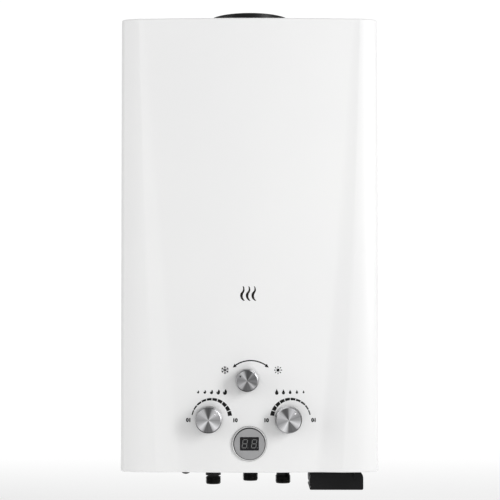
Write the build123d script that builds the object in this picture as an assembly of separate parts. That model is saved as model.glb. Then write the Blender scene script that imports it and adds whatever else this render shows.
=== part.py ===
from build123d import *
import math
import os

# Wall-hung instantaneous gas water heater, in millimetres.
# +X is to the right, +Z is up and the front looks along -Y.
# The origin is the middle of the back plate's wall face.

# ---- casing -----------------------------------------------------------------
casing_width = 340.0
casing_height = 598.0
casing_depth = 150.0          # wall face to the crown of the cover
cover_sheet = 1.0
bow_radius = 2088.0           # the front is bowed a little from side to side
shoulder_radius = 76.0        # then turns back in a wide shoulder
shoulder_turn = 25.0          # degrees at which the shoulder meets the edge bend
edge_radius = 10.0
lip_width = 15.0              # returned lip round the cover's top and bottom
lip_corner = 24.0
back_plate_sheet = 1.2
plate_sheet = 1.0             # top plate and base plate
nest_gap = 0.4                # between nested sheet parts

# ---- pressing in the cover's front ------------------------------------------
crease_top = 146.5            # half widths at the casing's top and bottom
crease_bottom = 122.5
panel_top = 140.5
panel_bottom = 90.0
strip_slope = 3.4             # degrees by which the strips beside the panel lean inward
strip_overrun = 12.0          # past the crease, so that the cut runs out in front
panel_sink = 0.5              # the panel's middle lies this far under the bow
sight_height = 235.0          # flame slots, above the casing's bottom
sight_x = -1.6
sight_pitch = 7.4
sight_count = 3

# ---- controls ---------------------------------------------------------------
control_height = 69.7         # gas and water knobs, above the casing's bottom
control_shift = -1.1          # middle of the pair of knobs
control_pitch = 104.2
season_height = 120.8
season_x = -2.8
main_knob_diameter = 34.4
season_knob_diameter = 29.2
knob_skirt_step = 1.2         # the skirt is this much larger in radius
knob_height = 19.0            # off its own back edge
knob_gap = 0.5                # between a knob and the cover
knob_hole_radius = 7.0
cap_depth = 7.0
knob_flat_count = 36
spindle_radius = 4.0
running_gap = 0.05

# ---- display ----------------------------------------------------------------
display_height = 38.0
bezel_diameter = 46.0
bezel_thickness = 2.6
display_barrel_diameter = 41.9
barrel_depth = 8.0
display_window_width = 24.7
display_window_height = 17.5
module_depth = 17.0
module_width = 44.0
module_height = 34.0

# ---- flue -------------------------------------------------------------------
flue_diameter = 110.0
flue_sheet = 1.0
flue_y = -70.0
flue_rise = 13.0              # collar above the casing's rim
top_recess = 20.0             # top plate below the casing's rim
flue_flange_width = 10.0

# ---- heat exchanger and burner ----------------------------------------------
chamber_width = 224.0
chamber_depth = 94.0
chamber_height = 178.0
chamber_sheet = 1.0
chamber_base_height = 203.0   # above the casing's bottom
chamber_corner = 6.0
core_height = 52.0
fin_count = 12
fin_thickness = 0.8
core_tube_radius = 8.5
core_tube_count = 3
core_tube_pitch = 20.0
core_tube_stub = 8.0
core_end_sheet = 1.2
header_depth = 14.0
fin_margin = 3.0
riser_x = 138.0
cutout_x = 60.0
blade_count = 10
blade_thickness = 3.0
blade_head_width = 12.0
blade_height = 58.0
venturi_radius = 5.5
venturi_mouth_radius = 7.5
nozzle_radius = 3.0
manifold_size = 11.0

# ---- valves and pipes --------------------------------------------------------
valve_y = -95.0
pipe_radius = 7.5
gas_pipe_radius = 6.0
fitting_y = -55.0
hot_outlet_x = -50.0
gas_inlet_x = 1.0
cold_inlet_x = 45.8
drain_x = -87.9
hot_outlet_drop = 25.7        # below the casing's bottom
gas_inlet_drop = 21.1
cold_inlet_drop = 24.6
drain_drop = 12.6
thread_radius = 10.4775       # G 1/2 male thread, over its crests
thread_length = 13.0
relief_radius = 7.4
relief_length = 2.5
fitting_bore = 6.0
base_recess = 8.0             # base plate above the casing's bottom
diaphragm_thickness = 2.0
rod_radius = 2.0
rod_travel = 3.0

# ---- battery box -------------------------------------------------------------
cell_diameter = 33.4
cell_length = 61.5
cell_gap = 0.4
battery_wall = 1.6
battery_side_reach = 53.0     # the tray's middle, in from the casing's right side
battery_x = casing_width / 2 - battery_side_reach
battery_y = -70.0
battery_drop = 28.0           # tray below the casing's bottom
hinge_round = 8.0             # the tray's corner is round about its hinge
hinge_pin_radius = 2.5
contact_space = 2.2

# ---- wall fixing --------------------------------------------------------------
hanger_width = 150.0
hanger_rise = 28.0            # tabs above and below the casing
wall_slot_pitch = 100.0
wall_slot_length = 16.0
wall_hole_radius = 3.25
lower_tab_drop = 12.0

# ---- casing fasteners ----------------------------------------------------------
screw_radius = 2.0
screw_head_radius = 3.8
screw_head_height = 2.0
cover_screw_y = -11.0
cover_screw_height = 64.0      # above the casing's bottom
cover_screw_length = 8.0
plate_flange = 18.0            # the back plate's sides, folded forward
rib_width = 14.0
rib_depth = 3.0
rib_x = 118.0

# ---- vents in the top and base plates ------------------------------------------
roof_slot_length = 60.0
roof_slot_width = 4.0
roof_slot_count = 6
roof_slot_pitch = 11.0
roof_slot_x = 116.0
base_slot_count = 2
base_rim = 7.0

# ---- draft hood ---------------------------------------------------------------------
hood_sheet = 0.8
hood_skirt = 18.0
hood_crown_width = 130.0
hood_mouth_radius = 45.0
collar_skirt = 16.0            # of the collar, under the top plate
hood_vent_width = 70.0
hood_vent_height = 12.0

# ---- chamber window, electrodes and burner details -------------------------------
sight_window_width = 34.0
sight_window_height = 24.0
sight_pane_margin = 5.0
sight_pane_thickness = 0.8
blade_end_gap = 1.2            # the heads reach the frame's walls
blade_head_height = 9.0
frame_sheet = 1.2
frame_ledge = 10.0
nozzle_gap = 1.5
nozzle_length = 5.0
manifold_neck = 5.0
manifold_overhang = 6.0
electrode_radius = 3.2
electrode_pin_radius = 0.9
electrode_pitch = 42.0
electrode_length = 20.0
electrode_reach = 3.5
electrode_wall_gap = 2.2

# ---- valve bodies and flow switch --------------------------------------------------
casting_chamfer = 4.0
gas_block_width = 52.0
gas_block_depth = 46.0
gas_block_height = 44.0
solenoid_length = 28.0
solenoid_radius = 13.0
boss_radius = 13.0
boss_rise = 7.0
gland_radius = 6.0
water_block_width = 40.0
water_block_height = 44.0
water_block_depth = 46.0
rim_radius = 31.0
rim_thickness = 8.0
lid_thickness = 8.0
lid_hollow = 5.5
gland_length = 6.0
spindle_depth = 12.0
grommet_lip = 2.0
seat_radius = 12.0
rod_depth = 14.0
rod_end_gap = 0.3
switch_height = 11.0
lever_length = 14.0
lever_sheet = 0.6
switch_clear = 2.6
lever_width = 4.0
lever_pin_radius = 0.8
water_outlet_rise = 6.0
hot_run_height = 46.0
hot_turn_height = 150.0
union_radius = 13.0
fitting_depth = 26.0
socket_height = 12.0
drain_radius = 6.5
seal_gap = 0.8
ear_thickness = 2.0

# ---- carriers and electrical parts ---------------------------------------------------
carrier_width = 26.0
carrier_sheet = 1.5
carrier_foot = 9.0
carrier_spread = 70.0         # each bracket's middle from the casing's middle
core_carrier_height = 30.0
frame_carrier_height = 14.0
control_box_width = 66.0
control_box_height = 78.0
control_box_depth = 34.0
control_box_side_reach = 53.0  # its middle, in from the casing's right side
control_box_x = casing_width / 2 - control_box_side_reach
control_box_z_rise = 105.0     # its middle above the casing's bottom

# ---- derived positions ---------------------------------------------------------
bottom_z = -casing_height / 2
top_z = casing_height / 2
middle_y = -casing_depth / 2
gas_x = control_shift - control_pitch / 2
water_x = control_shift + control_pitch / 2
control_z = bottom_z + control_height
season_z = bottom_z + season_height
display_z = bottom_z + display_height
sight_z = bottom_z + sight_height
base_z = bottom_z + base_recess
roof_z = top_z - top_recess
chamber_z = bottom_z + chamber_base_height
core_z = chamber_z + chamber_height
hood_z = core_z + core_height
nest_inset = cover_sheet + nest_gap
flue_radius = flue_diameter / 2
chamber_front = middle_y - chamber_depth / 2
chamber_back = middle_y + chamber_depth / 2
ear_reach = ear_thickness + nest_gap


def block(x, y, z):
    """A box between pairs of low and high coordinates."""
    size = (x[1] - x[0], y[1] - y[0], z[1] - z[0])
    return Pos(x[0], y[0], z[0]) * Box(*size, align=(Align.MIN, Align.MIN, Align.MIN))


def rod(start, end, radius):
    """A cylinder from one point to another."""
    line = Vector(*end) - Vector(*start)
    plane = Plane(origin=start, z_dir=line)
    return plane * Cylinder(radius, line.length, align=(Align.CENTER, Align.CENTER, Align.MIN))


def prism(start, end, radius, sides):
    """A bar of equal flats from one point to another."""
    along = Vector(*end) - Vector(*start)
    return extrude(Plane(origin=start, z_dir=along) * RegularPolygon(radius, sides), along.length)


def mitred_pipe(points, radius):
    """A pipe along straight runs with mitred corners."""
    path = Polyline(*points)
    return sweep(Plane(origin=path @ 0, z_dir=path % 0) * Circle(radius), path=path, transition=Transition.RIGHT)


# ---- casing outline --------------------------------------------------------------


def outline_centres():
    """Centres of the shoulder and edge bends on the +X side, and the bow's half angle."""
    turn = math.radians(shoulder_turn)
    edge_x = casing_width / 2 - edge_radius
    shoulder_x = edge_x - (shoulder_radius - edge_radius) * math.sin(turn)
    bow_angle = math.asin(shoulder_x / (bow_radius - shoulder_radius))
    bow_y = bow_radius - casing_depth
    shoulder_y = bow_y - (bow_radius - shoulder_radius) * math.cos(bow_angle)
    edge_y = shoulder_y - (shoulder_radius - edge_radius) * math.cos(turn)
    return (0, bow_y), (shoulder_x, shoulder_y), (edge_x, edge_y), bow_angle


def casing_section(inset, back):
    """Plan outline of the casing, drawn in by an inset and cut off at the back."""
    bow, shoulder, edge, bow_angle = outline_centres()
    turn = math.radians(shoulder_turn)

    def on(centre, radius, angle, side):
        reach = radius - inset
        return (side * (centre[0] + reach * math.sin(angle)), centre[1] - reach * math.cos(angle))

    lines = [ThreePointArc(on(bow, bow_radius, bow_angle, -1), on(bow, bow_radius, 0, 1),
                           on(bow, bow_radius, bow_angle, 1))]
    for side in (-1, 1):
        start = on(bow, bow_radius, bow_angle, side)
        joint = on(shoulder, shoulder_radius, turn, side)
        end = on(edge, edge_radius, math.pi / 2, side)
        lines += [
            ThreePointArc(start, on(shoulder, shoulder_radius, (bow_angle + turn) / 2, side), joint),
            ThreePointArc(joint, on(edge, edge_radius, (turn + math.pi / 2) / 2, side), end),
            Line(end, (end[0], back)),
        ]
    side_x = casing_width / 2 - inset
    lines.append(Line((-side_x, back), (side_x, back)))
    return make_face(lines)


def bow_depth(x):
    """Y of the plain casing outline at x, before the pressing."""
    bow, shoulder, edge, bow_angle = outline_centres()
    x = abs(x)
    if x <= bow_radius * math.sin(bow_angle):
        return bow[1] - math.sqrt(bow_radius ** 2 - x ** 2)
    return shoulder[1] - math.sqrt(shoulder_radius ** 2 - (x - shoulder[0]) ** 2)


def strip_rise():
    return math.tan(math.radians(strip_slope))


def crease_line(share):
    """X and Y of the +X crease, a share of the way up the casing."""
    low, high = bow_depth(crease_bottom), bow_depth(crease_top)
    return crease_bottom + (crease_top - crease_bottom) * share, low + (high - low) * share


def crown_radius(share, panel_x):
    """Radius of the panel's bow where its edge meets the strip at a half width."""
    crease_x, crease_y = crease_line(share)
    rise = crease_y + (crease_x - panel_x) * strip_rise() - (panel_sink - casing_depth)
    return (panel_x ** 2 + rise ** 2) / (2 * rise)


def strip_wedge(inset):
    """All that lies in front of both slanted strips, as a shallow V up the casing."""
    overrun = Vector(*crease_line(1.01), casing_height * 1.01) - Vector(*crease_line(-0.01), -casing_height * 0.01)
    x, y = crease_line(-0.01)
    wing, far = x + strip_overrun, -casing_width
    ahead = -casing_depth - 2 * strip_overrun
    corners = [(wing, y - strip_overrun * strip_rise() + inset), (far, y + (x - far) * strip_rise() + inset),
               (far, ahead), (wing, ahead)]
    section = Pos(0, 0, bottom_z - casing_height * 0.01) * make_face(Polyline(*corners, close=True))
    right = extrude(section, overrun.length, dir=overrun.normalized())
    return right & mirror(right, Plane.YZ)


def crown_cone(inset):
    """The panel's face, as a cone with one straight line up the middle of the casing."""
    low, high = crown_radius(0, panel_bottom), crown_radius(1, panel_top)
    spread = math.atan((high - low) / casing_height)
    below = low / math.tan(spread)
    apex = Vector(0, panel_sink - casing_depth + inset, bottom_z - below)
    along = Vector(0, math.sin(spread), math.cos(spread))
    near, far = 0.2 * below, 2 * (below + casing_height)
    cone = Cone(near * math.tan(spread), far * math.tan(spread), far - near,
                align=(Align.CENTER, Align.CENTER, Align.MIN))
    return Plane(origin=apex + along * near, z_dir=along) * cone


def pressed_form(inset, low, high, back=0.0):
    """The casing's form with its pressed front, drawn in by an inset."""
    body = Pos(0, 0, low) * extrude(casing_section(inset, back), high - low)
    return body - (strip_wedge(inset) - crown_cone(inset))


def panel_y(x, z):
    """Y of the pressed panel's face."""
    share = (z - bottom_z) / casing_height
    low, high = crown_radius(0, panel_bottom), crown_radius(1, panel_top)
    radius = low + (high - low) * share
    return panel_sink - casing_depth + radius - math.sqrt(radius ** 2 - x ** 2)


def sight_slot():
    """One wavy flame slot, as an S between four arcs."""
    top_left, top_right = (0.2, 9.3), (1.3, 9.4)
    right_waist, left_waist = (0.5, 0.4), (-1.9, 1.2)
    bottom_right, bottom_left = (2.9, -9.2), (1.9, -9.5)
    lines = [
        Line(top_left, top_right),
        ThreePointArc(top_right, (2.35, 5.0), right_waist),
        ThreePointArc(right_waist, (-0.1, -4.2), bottom_right),
        Line(bottom_right, bottom_left),
        ThreePointArc(bottom_left, (-2.95, -3.0), left_waist),
        ThreePointArc(left_waist, (0.9, 5.3), top_left),
    ]
    return make_face(lines)


def front_cutter(face, x, z):
    """A flat shape pushed through the cover's front."""
    plane = Plane(origin=(x, -casing_depth - 5, z), x_dir=(1, 0, 0), z_dir=(0, -1, 0))
    return extrude(plane * face, -20)


def front_cover():
    skin_back = -back_plate_sheet - nest_gap
    cover = pressed_form(0, bottom_z, top_z, skin_back)
    cover -= pressed_form(cover_sheet, bottom_z + cover_sheet, top_z - cover_sheet, 1)
    mouth_x = casing_width / 2 - lip_width
    mouth = block((-mouth_x, mouth_x), (-casing_depth + lip_width, 1), (bottom_z - 1, top_z + 1))
    cover -= fillet(mouth.edges().filter_by(Axis.Z).group_by(Axis.Y)[0], lip_corner)
    for index in range(sight_count):
        x = sight_x + (index - (sight_count - 1) / 2) * sight_pitch
        cover -= front_cutter(sight_slot(), x, sight_z)
    for x, z in ((gas_x, control_z), (water_x, control_z), (season_x, season_z)):
        cover -= front_cutter(Circle(knob_hole_radius), x, z)
    cover -= front_cutter(Circle(display_barrel_diameter / 2 + nest_gap), 0, display_z)
    for place in cover_screw_places():
        side = math.copysign(1, place[0])
        cover -= rod(place, (place[0] - side * 5, place[1], place[2]), screw_radius + nest_gap)
    return cover


# ---- casing fasteners -----------------------------------------------------------


def cover_screw_places():
    side_x = casing_width / 2
    return [(side * side_x, cover_screw_y, bottom_z + cover_screw_height) for side in (-1, 1)]


def screw(place, inward, length):
    """A hexagon-head screw with its head's seat at a point, running inward."""
    seat = Vector(*place)
    along = Vector(*inward)
    head = prism(seat, seat - along * screw_head_height, screw_head_radius, 6)
    return head + rod(seat - along, seat + along * length, screw_radius)


def cover_screws():
    screws = []
    for place in cover_screw_places():
        inward = (-math.copysign(1, place[0]), 0, 0)
        screws.append(screw(place, inward, cover_screw_length))
    return Compound(children=screws)


# ---- back plate -------------------------------------------------------------------


def back_plate():
    half = casing_width / 2 - nest_inset
    low, high = bottom_z + nest_gap, top_z - nest_gap
    plate = block((-half, half), (-back_plate_sheet, 0), (low, high))
    for side in (-1, 1):
        outer = side * half
        inner = outer - side * back_plate_sheet
        x = (min(outer, inner), max(outer, inner))
        flange_z = (low + cover_sheet + nest_gap, high - cover_sheet - nest_gap)
        plate += block(x, (-plate_flange, 0), flange_z)
    tab = hanger_width / 2
    plate += block((-tab, tab), (-back_plate_sheet, 0), (high - 1, top_z + hanger_rise))
    plate += block((-tab, tab), (-back_plate_sheet, 0), (bottom_z - lower_tab_drop, low + 1))
    corners = plate.edges().filter_by(Axis.Y).filter_by(
        lambda edge: abs(abs(edge.center().X) - tab) < 0.1 and abs(edge.center().Z) > top_z + 1)
    plate = chamfer(corners, 8)
    for side in (-1, 1):
        x = side * rib_x
        bead = block((x - rib_width / 2, x + rib_width / 2), (-rib_depth - back_plate_sheet, 0),
                     (bottom_z + 60, top_z - 60))
        bead = chamfer(bead.edges().group_by(Axis.Y)[0], rib_depth - 0.2)
        plate += bead
        plate -= Pos(0, back_plate_sheet, 0) * bead
        slot_x = side * wall_slot_pitch / 2
        slot = SlotOverall(wall_slot_length, 2 * wall_hole_radius)
        upper = Plane(origin=(slot_x, 2, top_z + hanger_rise / 2), x_dir=(1, 0, 0), z_dir=(0, 1, 0))
        plate -= extrude(upper * slot, -6)
        lower_z = bottom_z - lower_tab_drop / 2
        plate -= rod((slot_x, 2, lower_z), (slot_x, -4, lower_z), wall_hole_radius)
        hole_z = bottom_z + cover_screw_height
        plate -= rod((side * (half - plate_flange), cover_screw_y, hole_z),
                     (side * (half + 2), cover_screw_y, hole_z), screw_radius)
    return plate


# ---- top plate, flue collar and draft hood ------------------------------------------


def top_plate():
    back = -back_plate_sheet - nest_gap
    inset = nest_inset
    plate = pressed_form(inset, roof_z - plate_sheet, roof_z, back)
    rim = pressed_form(inset, roof_z - 0.5, top_z - cover_sheet - nest_gap, back)
    rim -= pressed_form(inset + plate_sheet, roof_z - 1, top_z, back + 1)
    # the rim stops short of the back plate's folded sides
    rim -= block((-casing_width, casing_width), (-plate_flange - nest_gap, 5), (roof_z, top_z))
    plate += rim
    side_room = casing_width / 2 - nest_inset - back_plate_sheet - nest_gap
    for side in (-1, 1):
        x = sorted((side * side_room, side * casing_width))
        plate -= block(x, (-plate_flange - nest_gap, 5), (roof_z - 5, top_z))
        for index in range(roof_slot_count):
            y = flue_y + (index - (roof_slot_count - 1) / 2) * roof_slot_pitch
            slot_x = (side * roof_slot_x - roof_slot_length / 2, side * roof_slot_x + roof_slot_length / 2)
            plate -= block(slot_x, (y - roof_slot_width / 2, y + roof_slot_width / 2), (roof_z - 5, roof_z + 1))
    plate -= rod((0, flue_y, roof_z - 5), (0, flue_y, roof_z + 5), flue_radius + nest_gap)
    return plate


def flue_collar():
    """A round spigot for the flue pipe, standing on its flange."""
    low, high = roof_z + flue_sheet, top_z + flue_rise
    collar = rod((0, flue_y, low), (0, flue_y, high), flue_radius)
    return collar - rod((0, flue_y, low - 1), (0, flue_y, high + 1), flue_radius - flue_sheet)


def flue_flange():
    """The square sheet under the spigot, spot-welded to it and seated on the top plate."""
    reach = flue_radius + flue_flange_width
    flange = block((-reach, reach), (flue_y - reach, flue_y + reach), (roof_z, roof_z + flue_sheet))
    return flange - rod((0, flue_y, roof_z - 1), (0, flue_y, top_z), flue_radius - flue_sheet)


def draft_hood():
    """A hood that gathers the flue gas from the fins into the flue collar."""
    neck_z = roof_z - collar_skirt

    def skin(inset, low, high):
        foot = Rectangle(chamber_width - 2 * inset, chamber_depth - 2 * inset)
        crown = Rectangle(hood_crown_width - 2 * inset, chamber_depth - 2 * inset)
        lower = Pos(0, middle_y, hood_z + hood_skirt) * foot
        upper = Pos(0, middle_y, high) * crown
        return loft([lower, upper], ruled=True) + extrude(Pos(0, middle_y, low) * foot, hood_z + hood_skirt - low)

    hood = skin(0, hood_z, neck_z) - skin(hood_sheet, hood_z - 1, neck_z - hood_sheet)
    hood -= rod((0, flue_y, neck_z - 2), (0, flue_y, neck_z + 2), hood_mouth_radius)
    vent_z = (hood_z + 3, hood_z + 3 + hood_vent_height)
    return hood - block((-hood_vent_width / 2, hood_vent_width / 2), (-casing_depth, -5), vent_z)


# ---- heat exchanger -----------------------------------------------------------------


def core_tube_y(index):
    return middle_y + (index - (core_tube_count - 1) / 2) * core_tube_pitch


def tube_z():
    return core_z + core_height / 2


def heat_fins():
    """Copper fins that straddle the tubes, inside a frame of side and end plates."""
    half = chamber_width / 2
    y = (chamber_front, chamber_back)
    notch = core_tube_radius + running_gap
    outer = block((-half, half), y, (core_z, hood_z))
    sheet = core_end_sheet
    frame = outer - block((-half + sheet, half - sheet), (y[0] + sheet, y[1] - sheet), (core_z - 1, hood_z + 1))
    for index in range(core_tube_count):
        tube_y = core_tube_y(index)
        frame -= rod((-half - 1, tube_y, tube_z()), (half + 1, tube_y, tube_z()), notch)
    space = (chamber_width - 2 * sheet) / (fin_count + 1)
    fin = block((-fin_thickness / 2, fin_thickness / 2), (y[0] + sheet / 2, y[1] - sheet / 2),
                (core_z + fin_margin, hood_z - fin_margin))
    for index in range(core_tube_count):
        tube_y = core_tube_y(index)
        fin -= block((-1, 1), (tube_y - notch, tube_y + notch), (core_z, tube_z() + notch))
    for index in range(fin_count):
        frame += Pos(-half + sheet + space * (index + 1), 0, 0) * fin
    return frame


def core_tubes():
    half = chamber_width / 2 + core_tube_stub
    tubes = []
    for index in range(core_tube_count):
        tube_y = core_tube_y(index)
        tubes.append(rod((-half, tube_y, tube_z()), (half, tube_y, tube_z()), core_tube_radius))
    return Compound(children=tubes)


def return_headers():
    """Brazed boxes that join each tube of the core to the next, left and right by turns."""
    headers = []
    for index in range(core_tube_count - 1):
        side = -1 if index % 2 == 0 else 1
        x = side * (chamber_width / 2 + core_tube_stub)
        y = (core_tube_y(index) + core_tube_y(index + 1)) / 2
        plane = Plane(origin=(x, y, tube_z()), x_dir=(0, 1, 0), z_dir=(side, 0, 0))
        headers.append(extrude(plane * SlotCenterToCenter(core_tube_pitch, 2 * core_tube_radius), header_depth))
    return Compound(children=headers)


def combustion_chamber():
    """A copper box, open to the burner below and to the fins above."""
    half = chamber_width / 2
    y = (chamber_front, chamber_back)
    outer = block((-half, half), y, (chamber_z, core_z))
    outer = chamfer(outer.edges().filter_by(Axis.Z), chamber_corner)
    inner = block((-half + chamber_sheet, half - chamber_sheet),
                  (y[0] + chamber_sheet, y[1] - chamber_sheet), (chamber_z - 1, core_z + 1))
    inner = chamfer(inner.edges().filter_by(Axis.Z), chamber_corner - chamber_sheet / 2)
    chamber = outer - inner
    for side in (-1, 1):
        x, z = electrode_x(side), electrode_top() + electrode_reach
        chamber -= rod((x, y[0] - 1, z), (x, y[0] + 5, z), electrode_pin_radius + 1)
    chamber -= block((sight_x - sight_window_width / 2, sight_x + sight_window_width / 2),
                     (y[0] - 5, y[0] + 5), (sight_z - sight_window_height / 2, sight_z + sight_window_height / 2))
    return chamber


def flame_window():
    """A mica pane over the chamber's sight hole."""
    width = sight_window_width + 2 * sight_pane_margin
    height = sight_window_height + 2 * sight_pane_margin
    return block((sight_x - width / 2, sight_x + width / 2),
                 (chamber_front - sight_pane_thickness, chamber_front),
                 (sight_z - height / 2, sight_z + height / 2))


# ---- burner ---------------------------------------------------------------------------


def blade_places():
    pitch = (chamber_width - 2 * chamber_sheet - blade_head_width - 2) / (blade_count - 1)
    return [(index - (blade_count - 1) / 2) * pitch for index in range(blade_count)]


def burner_blade():
    """One pressed burner blade: a mouth and mixing tube below, and a slotted head above."""
    front = chamber_front + blade_end_gap
    back = chamber_back - blade_end_gap
    axis_z = chamber_z - blade_height + venturi_mouth_radius
    head_z = chamber_z - blade_head_height
    outline = [
        (front + 6, axis_z - 3), (back - 30, axis_z - 4), (back - 4, axis_z + 10),
        (back, head_z + 1), (front, head_z + 1), (front, head_z - 14), (front + 26, axis_z + 4),
    ]
    plane = Plane(origin=(-blade_thickness / 2, 0, 0), x_dir=(0, 1, 0), z_dir=(1, 0, 0))
    blade = extrude(plane * make_face(Polyline(*outline, close=True)), blade_thickness)
    head = block((-blade_head_width / 2, blade_head_width / 2), (front, back), (head_z, chamber_z))
    head -= block((-0.8, 0.8), (front + 3, back - 3), (chamber_z - 4, chamber_z + 1))
    mixer = prism((0, front, axis_z), (0, back - 30, axis_z), venturi_radius, 6)
    mixer += prism((0, front, axis_z), (0, front + 4, axis_z), venturi_mouth_radius, 6)
    mixer -= prism((0, front - 1, axis_z), (0, front + 30, axis_z), venturi_radius - 1, 6)
    return blade + head + mixer - prism((0, front - 1, axis_z), (0, front + 12, axis_z), venturi_radius - 1, 6)


def burner_blades():
    blade = burner_blade()
    return Compound(children=[Pos(x, 0, 0) * blade for x in blade_places()])


def burner_frame():
    """A sheet frame that holds the blades' heads under the chamber."""
    half = chamber_width / 2
    y = (chamber_front, chamber_back)
    low = chamber_z - blade_head_height - 6
    frame = block((-half, half), y, (low, chamber_z))
    frame -= block((-half + frame_sheet, half - frame_sheet),
                   (y[0] + frame_sheet, y[1] - frame_sheet), (low - 1, chamber_z + 1))
    for x in blade_places():
        # the front wall is notched for each blade's web
        frame -= block((x - blade_thickness, x + blade_thickness), (y[0] - 1, y[0] + 3),
                       (low - 1, chamber_z - blade_head_height - 1))
    for side in (-1, 1):
        x = sorted((side * (half - frame_sheet), side * (half - frame_ledge)))
        leg_z = (chamber_z - blade_height, chamber_z - blade_head_height - 3)
        wall = sorted((side * half, side * (half - frame_sheet)))
        frame += block(wall, (y[0] + 20, y[1] - 20), leg_z)
    return frame


def manifold_axis():
    """Y and Z of the manifold's middle."""
    mouth_y = chamber_front + blade_end_gap
    axis_z = chamber_z - blade_height + venturi_mouth_radius
    return mouth_y - nozzle_gap - nozzle_length - manifold_size / 2, axis_z


def burner_manifold():
    """The gas bar in front of the blades, with its neck and its two mounting arms."""
    y, z = manifold_axis()
    half = manifold_size / 2
    reach = blade_places()[-1] + manifold_overhang
    bar = block((-reach, reach), (y - half, y + half), (z - half, z + half))
    bar = chamfer(bar.edges().filter_by(Axis.X), 2)
    bar += rod((season_x, y, z - half - manifold_neck), (season_x, y, z), gas_pipe_radius)
    outside = chamber_width / 2
    for side in (-1, 1):
        bar += block(sorted((side * (reach - 1), side * (outside + 1.5))), (y - 1, y + 1), (z - half, z + half))
        arm = sorted((side * outside, side * (outside + 1.5)))
        bar += block(arm, (y - 1, chamber_front + 34), (z - half, z + half))
    return bar


def gas_nozzles():
    """Hexagonal brass nozzles on the manifold, one for each blade."""
    y, z = manifold_axis()
    start = y + manifold_size / 2
    plane = Plane(origin=(0, start, z), z_dir=(0, 1, 0))
    nozzle = extrude(plane * RegularPolygon(nozzle_radius, 6), nozzle_length)
    return Compound(children=[Pos(x, 0, 0) * nozzle for x in blade_places()])


# ---- electrodes -----------------------------------------------------------------------


def electrode_x(side):
    return sight_x + side * electrode_pitch


def electrode_y():
    return chamber_front - electrode_radius - electrode_wall_gap


def electrode_top():
    return sight_z - sight_window_height / 2 - sight_pane_margin - 2


def electrode(x):
    """A ceramic body in front of the chamber, with its pin bent in over the blades."""
    y, top = electrode_y(), electrode_top()
    body = rod((x, y, top - electrode_length), (x, y, top), electrode_radius)
    half = electrode_pin_radius * 0.7
    tip_z = top + electrode_reach
    pin = block((x - half, x + half), (y - half, y + half), (top - 1, tip_z))
    return body + pin + block((x - half, x + half), (y - half, chamber_front + 9), (tip_z - 2 * half, tip_z))


def igniter_electrode():
    return electrode(electrode_x(1))


def flame_sensor():
    return electrode(electrode_x(-1))


def electrode_brackets():
    """Two angle clips on the chamber's front, each round an electrode's neck."""
    brackets = []
    y = electrode_y()
    z = electrode_top() - electrode_length / 2
    for side in (-1, 1):
        x = electrode_x(side)
        clip = block((x - 7, x + 7), (y - 5, chamber_front), (z, z + 1.5))
        clip += block((x - 7, x + 7), (chamber_front - 1, chamber_front), (z - 8, z + 1.5))
        room = electrode_radius + running_gap
        brackets.append(clip - block((x - room, x + room), (y - 6, y + room), (z - 1, z + 3)))
    return Compound(children=brackets)


# ---- valves ------------------------------------------------------------------------------


def valve_front():
    return valve_y - gas_block_depth / 2


def spindle_bore(x, z):
    front = valve_front() - boss_rise
    return rod((x, front - 1, z), (x, front + spindle_depth, z), spindle_radius + running_gap)


def gas_valve_body():
    """The cast gas body: a block with a spindle boss, and an arm over the gas inlet."""
    x = (gas_x - gas_block_width / 2, gas_x + gas_block_width / 2)
    y = (valve_y - gas_block_depth / 2, valve_y + gas_block_depth / 2)
    z = (control_z - gas_block_height / 2, control_z + gas_block_height / 2)
    body = block(x, y, z)
    body = chamfer(body.edges().filter_by(Axis.X), casting_chamfer)
    body += prism((gas_x, y[0] + 4, control_z), (gas_x, y[0] - boss_rise, control_z), boss_radius, 8)
    body += prism((x[1] - 4, valve_y, control_z), (x[1] + 8, valve_y, control_z), gland_radius + 2, 6)
    arm_x = (x[1] - 10, gas_inlet_x + 11.5)
    arm_z = (z[0] - 1, z[0] + 19)
    arm = block(arm_x, (fitting_y - 14, fitting_y + 14), arm_z)
    body += chamfer(arm.edges().filter_by(Axis.Z), casting_chamfer)
    body += prism((gas_inlet_x, fitting_y, fitting_seat()), (gas_inlet_x, fitting_y, z[0] + 2), seat_radius, 8)
    body -= spindle_bore(gas_x, control_z)
    body -= rod((x[1] - rod_depth, valve_y, control_z), (x[1] + 9, valve_y, control_z),
                rod_radius + running_gap)
    return body


def solenoid_valve():
    """The safety magnet valve on the gas body's left end, with its two tabs."""
    start = gas_x - gas_block_width / 2
    end = start - solenoid_length
    coil = prism((start, valve_y, control_z), (end, valve_y, control_z), solenoid_radius, 12)
    for side in (-1, 1):
        y = valve_y + side * 4
        coil += block((end - 7, end + 1), (y - 0.5, y + 0.5), (control_z - 3, control_z + 3))
    return coil


def season_valve():
    """A small brass cock between the gas pipe and the manifold."""
    y, z = manifold_axis()
    top = z - manifold_size / 2 - manifold_neck
    back = y + 14
    valve = prism((season_x, season_front(), season_z), (season_x, back, season_z), 11, 8)
    valve += prism((season_x, y, season_z), (season_x, y, top), 8, 8)
    valve -= rod((season_x, season_front() - 1, season_z),
                 (season_x, season_front() + spindle_depth, season_z), spindle_radius + running_gap)
    return valve


def season_front():
    return manifold_axis()[0] - 8


def water_left():
    """X of the joint between the water valve's lid and body."""
    return water_x - water_block_width / 2 - rim_thickness


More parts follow.
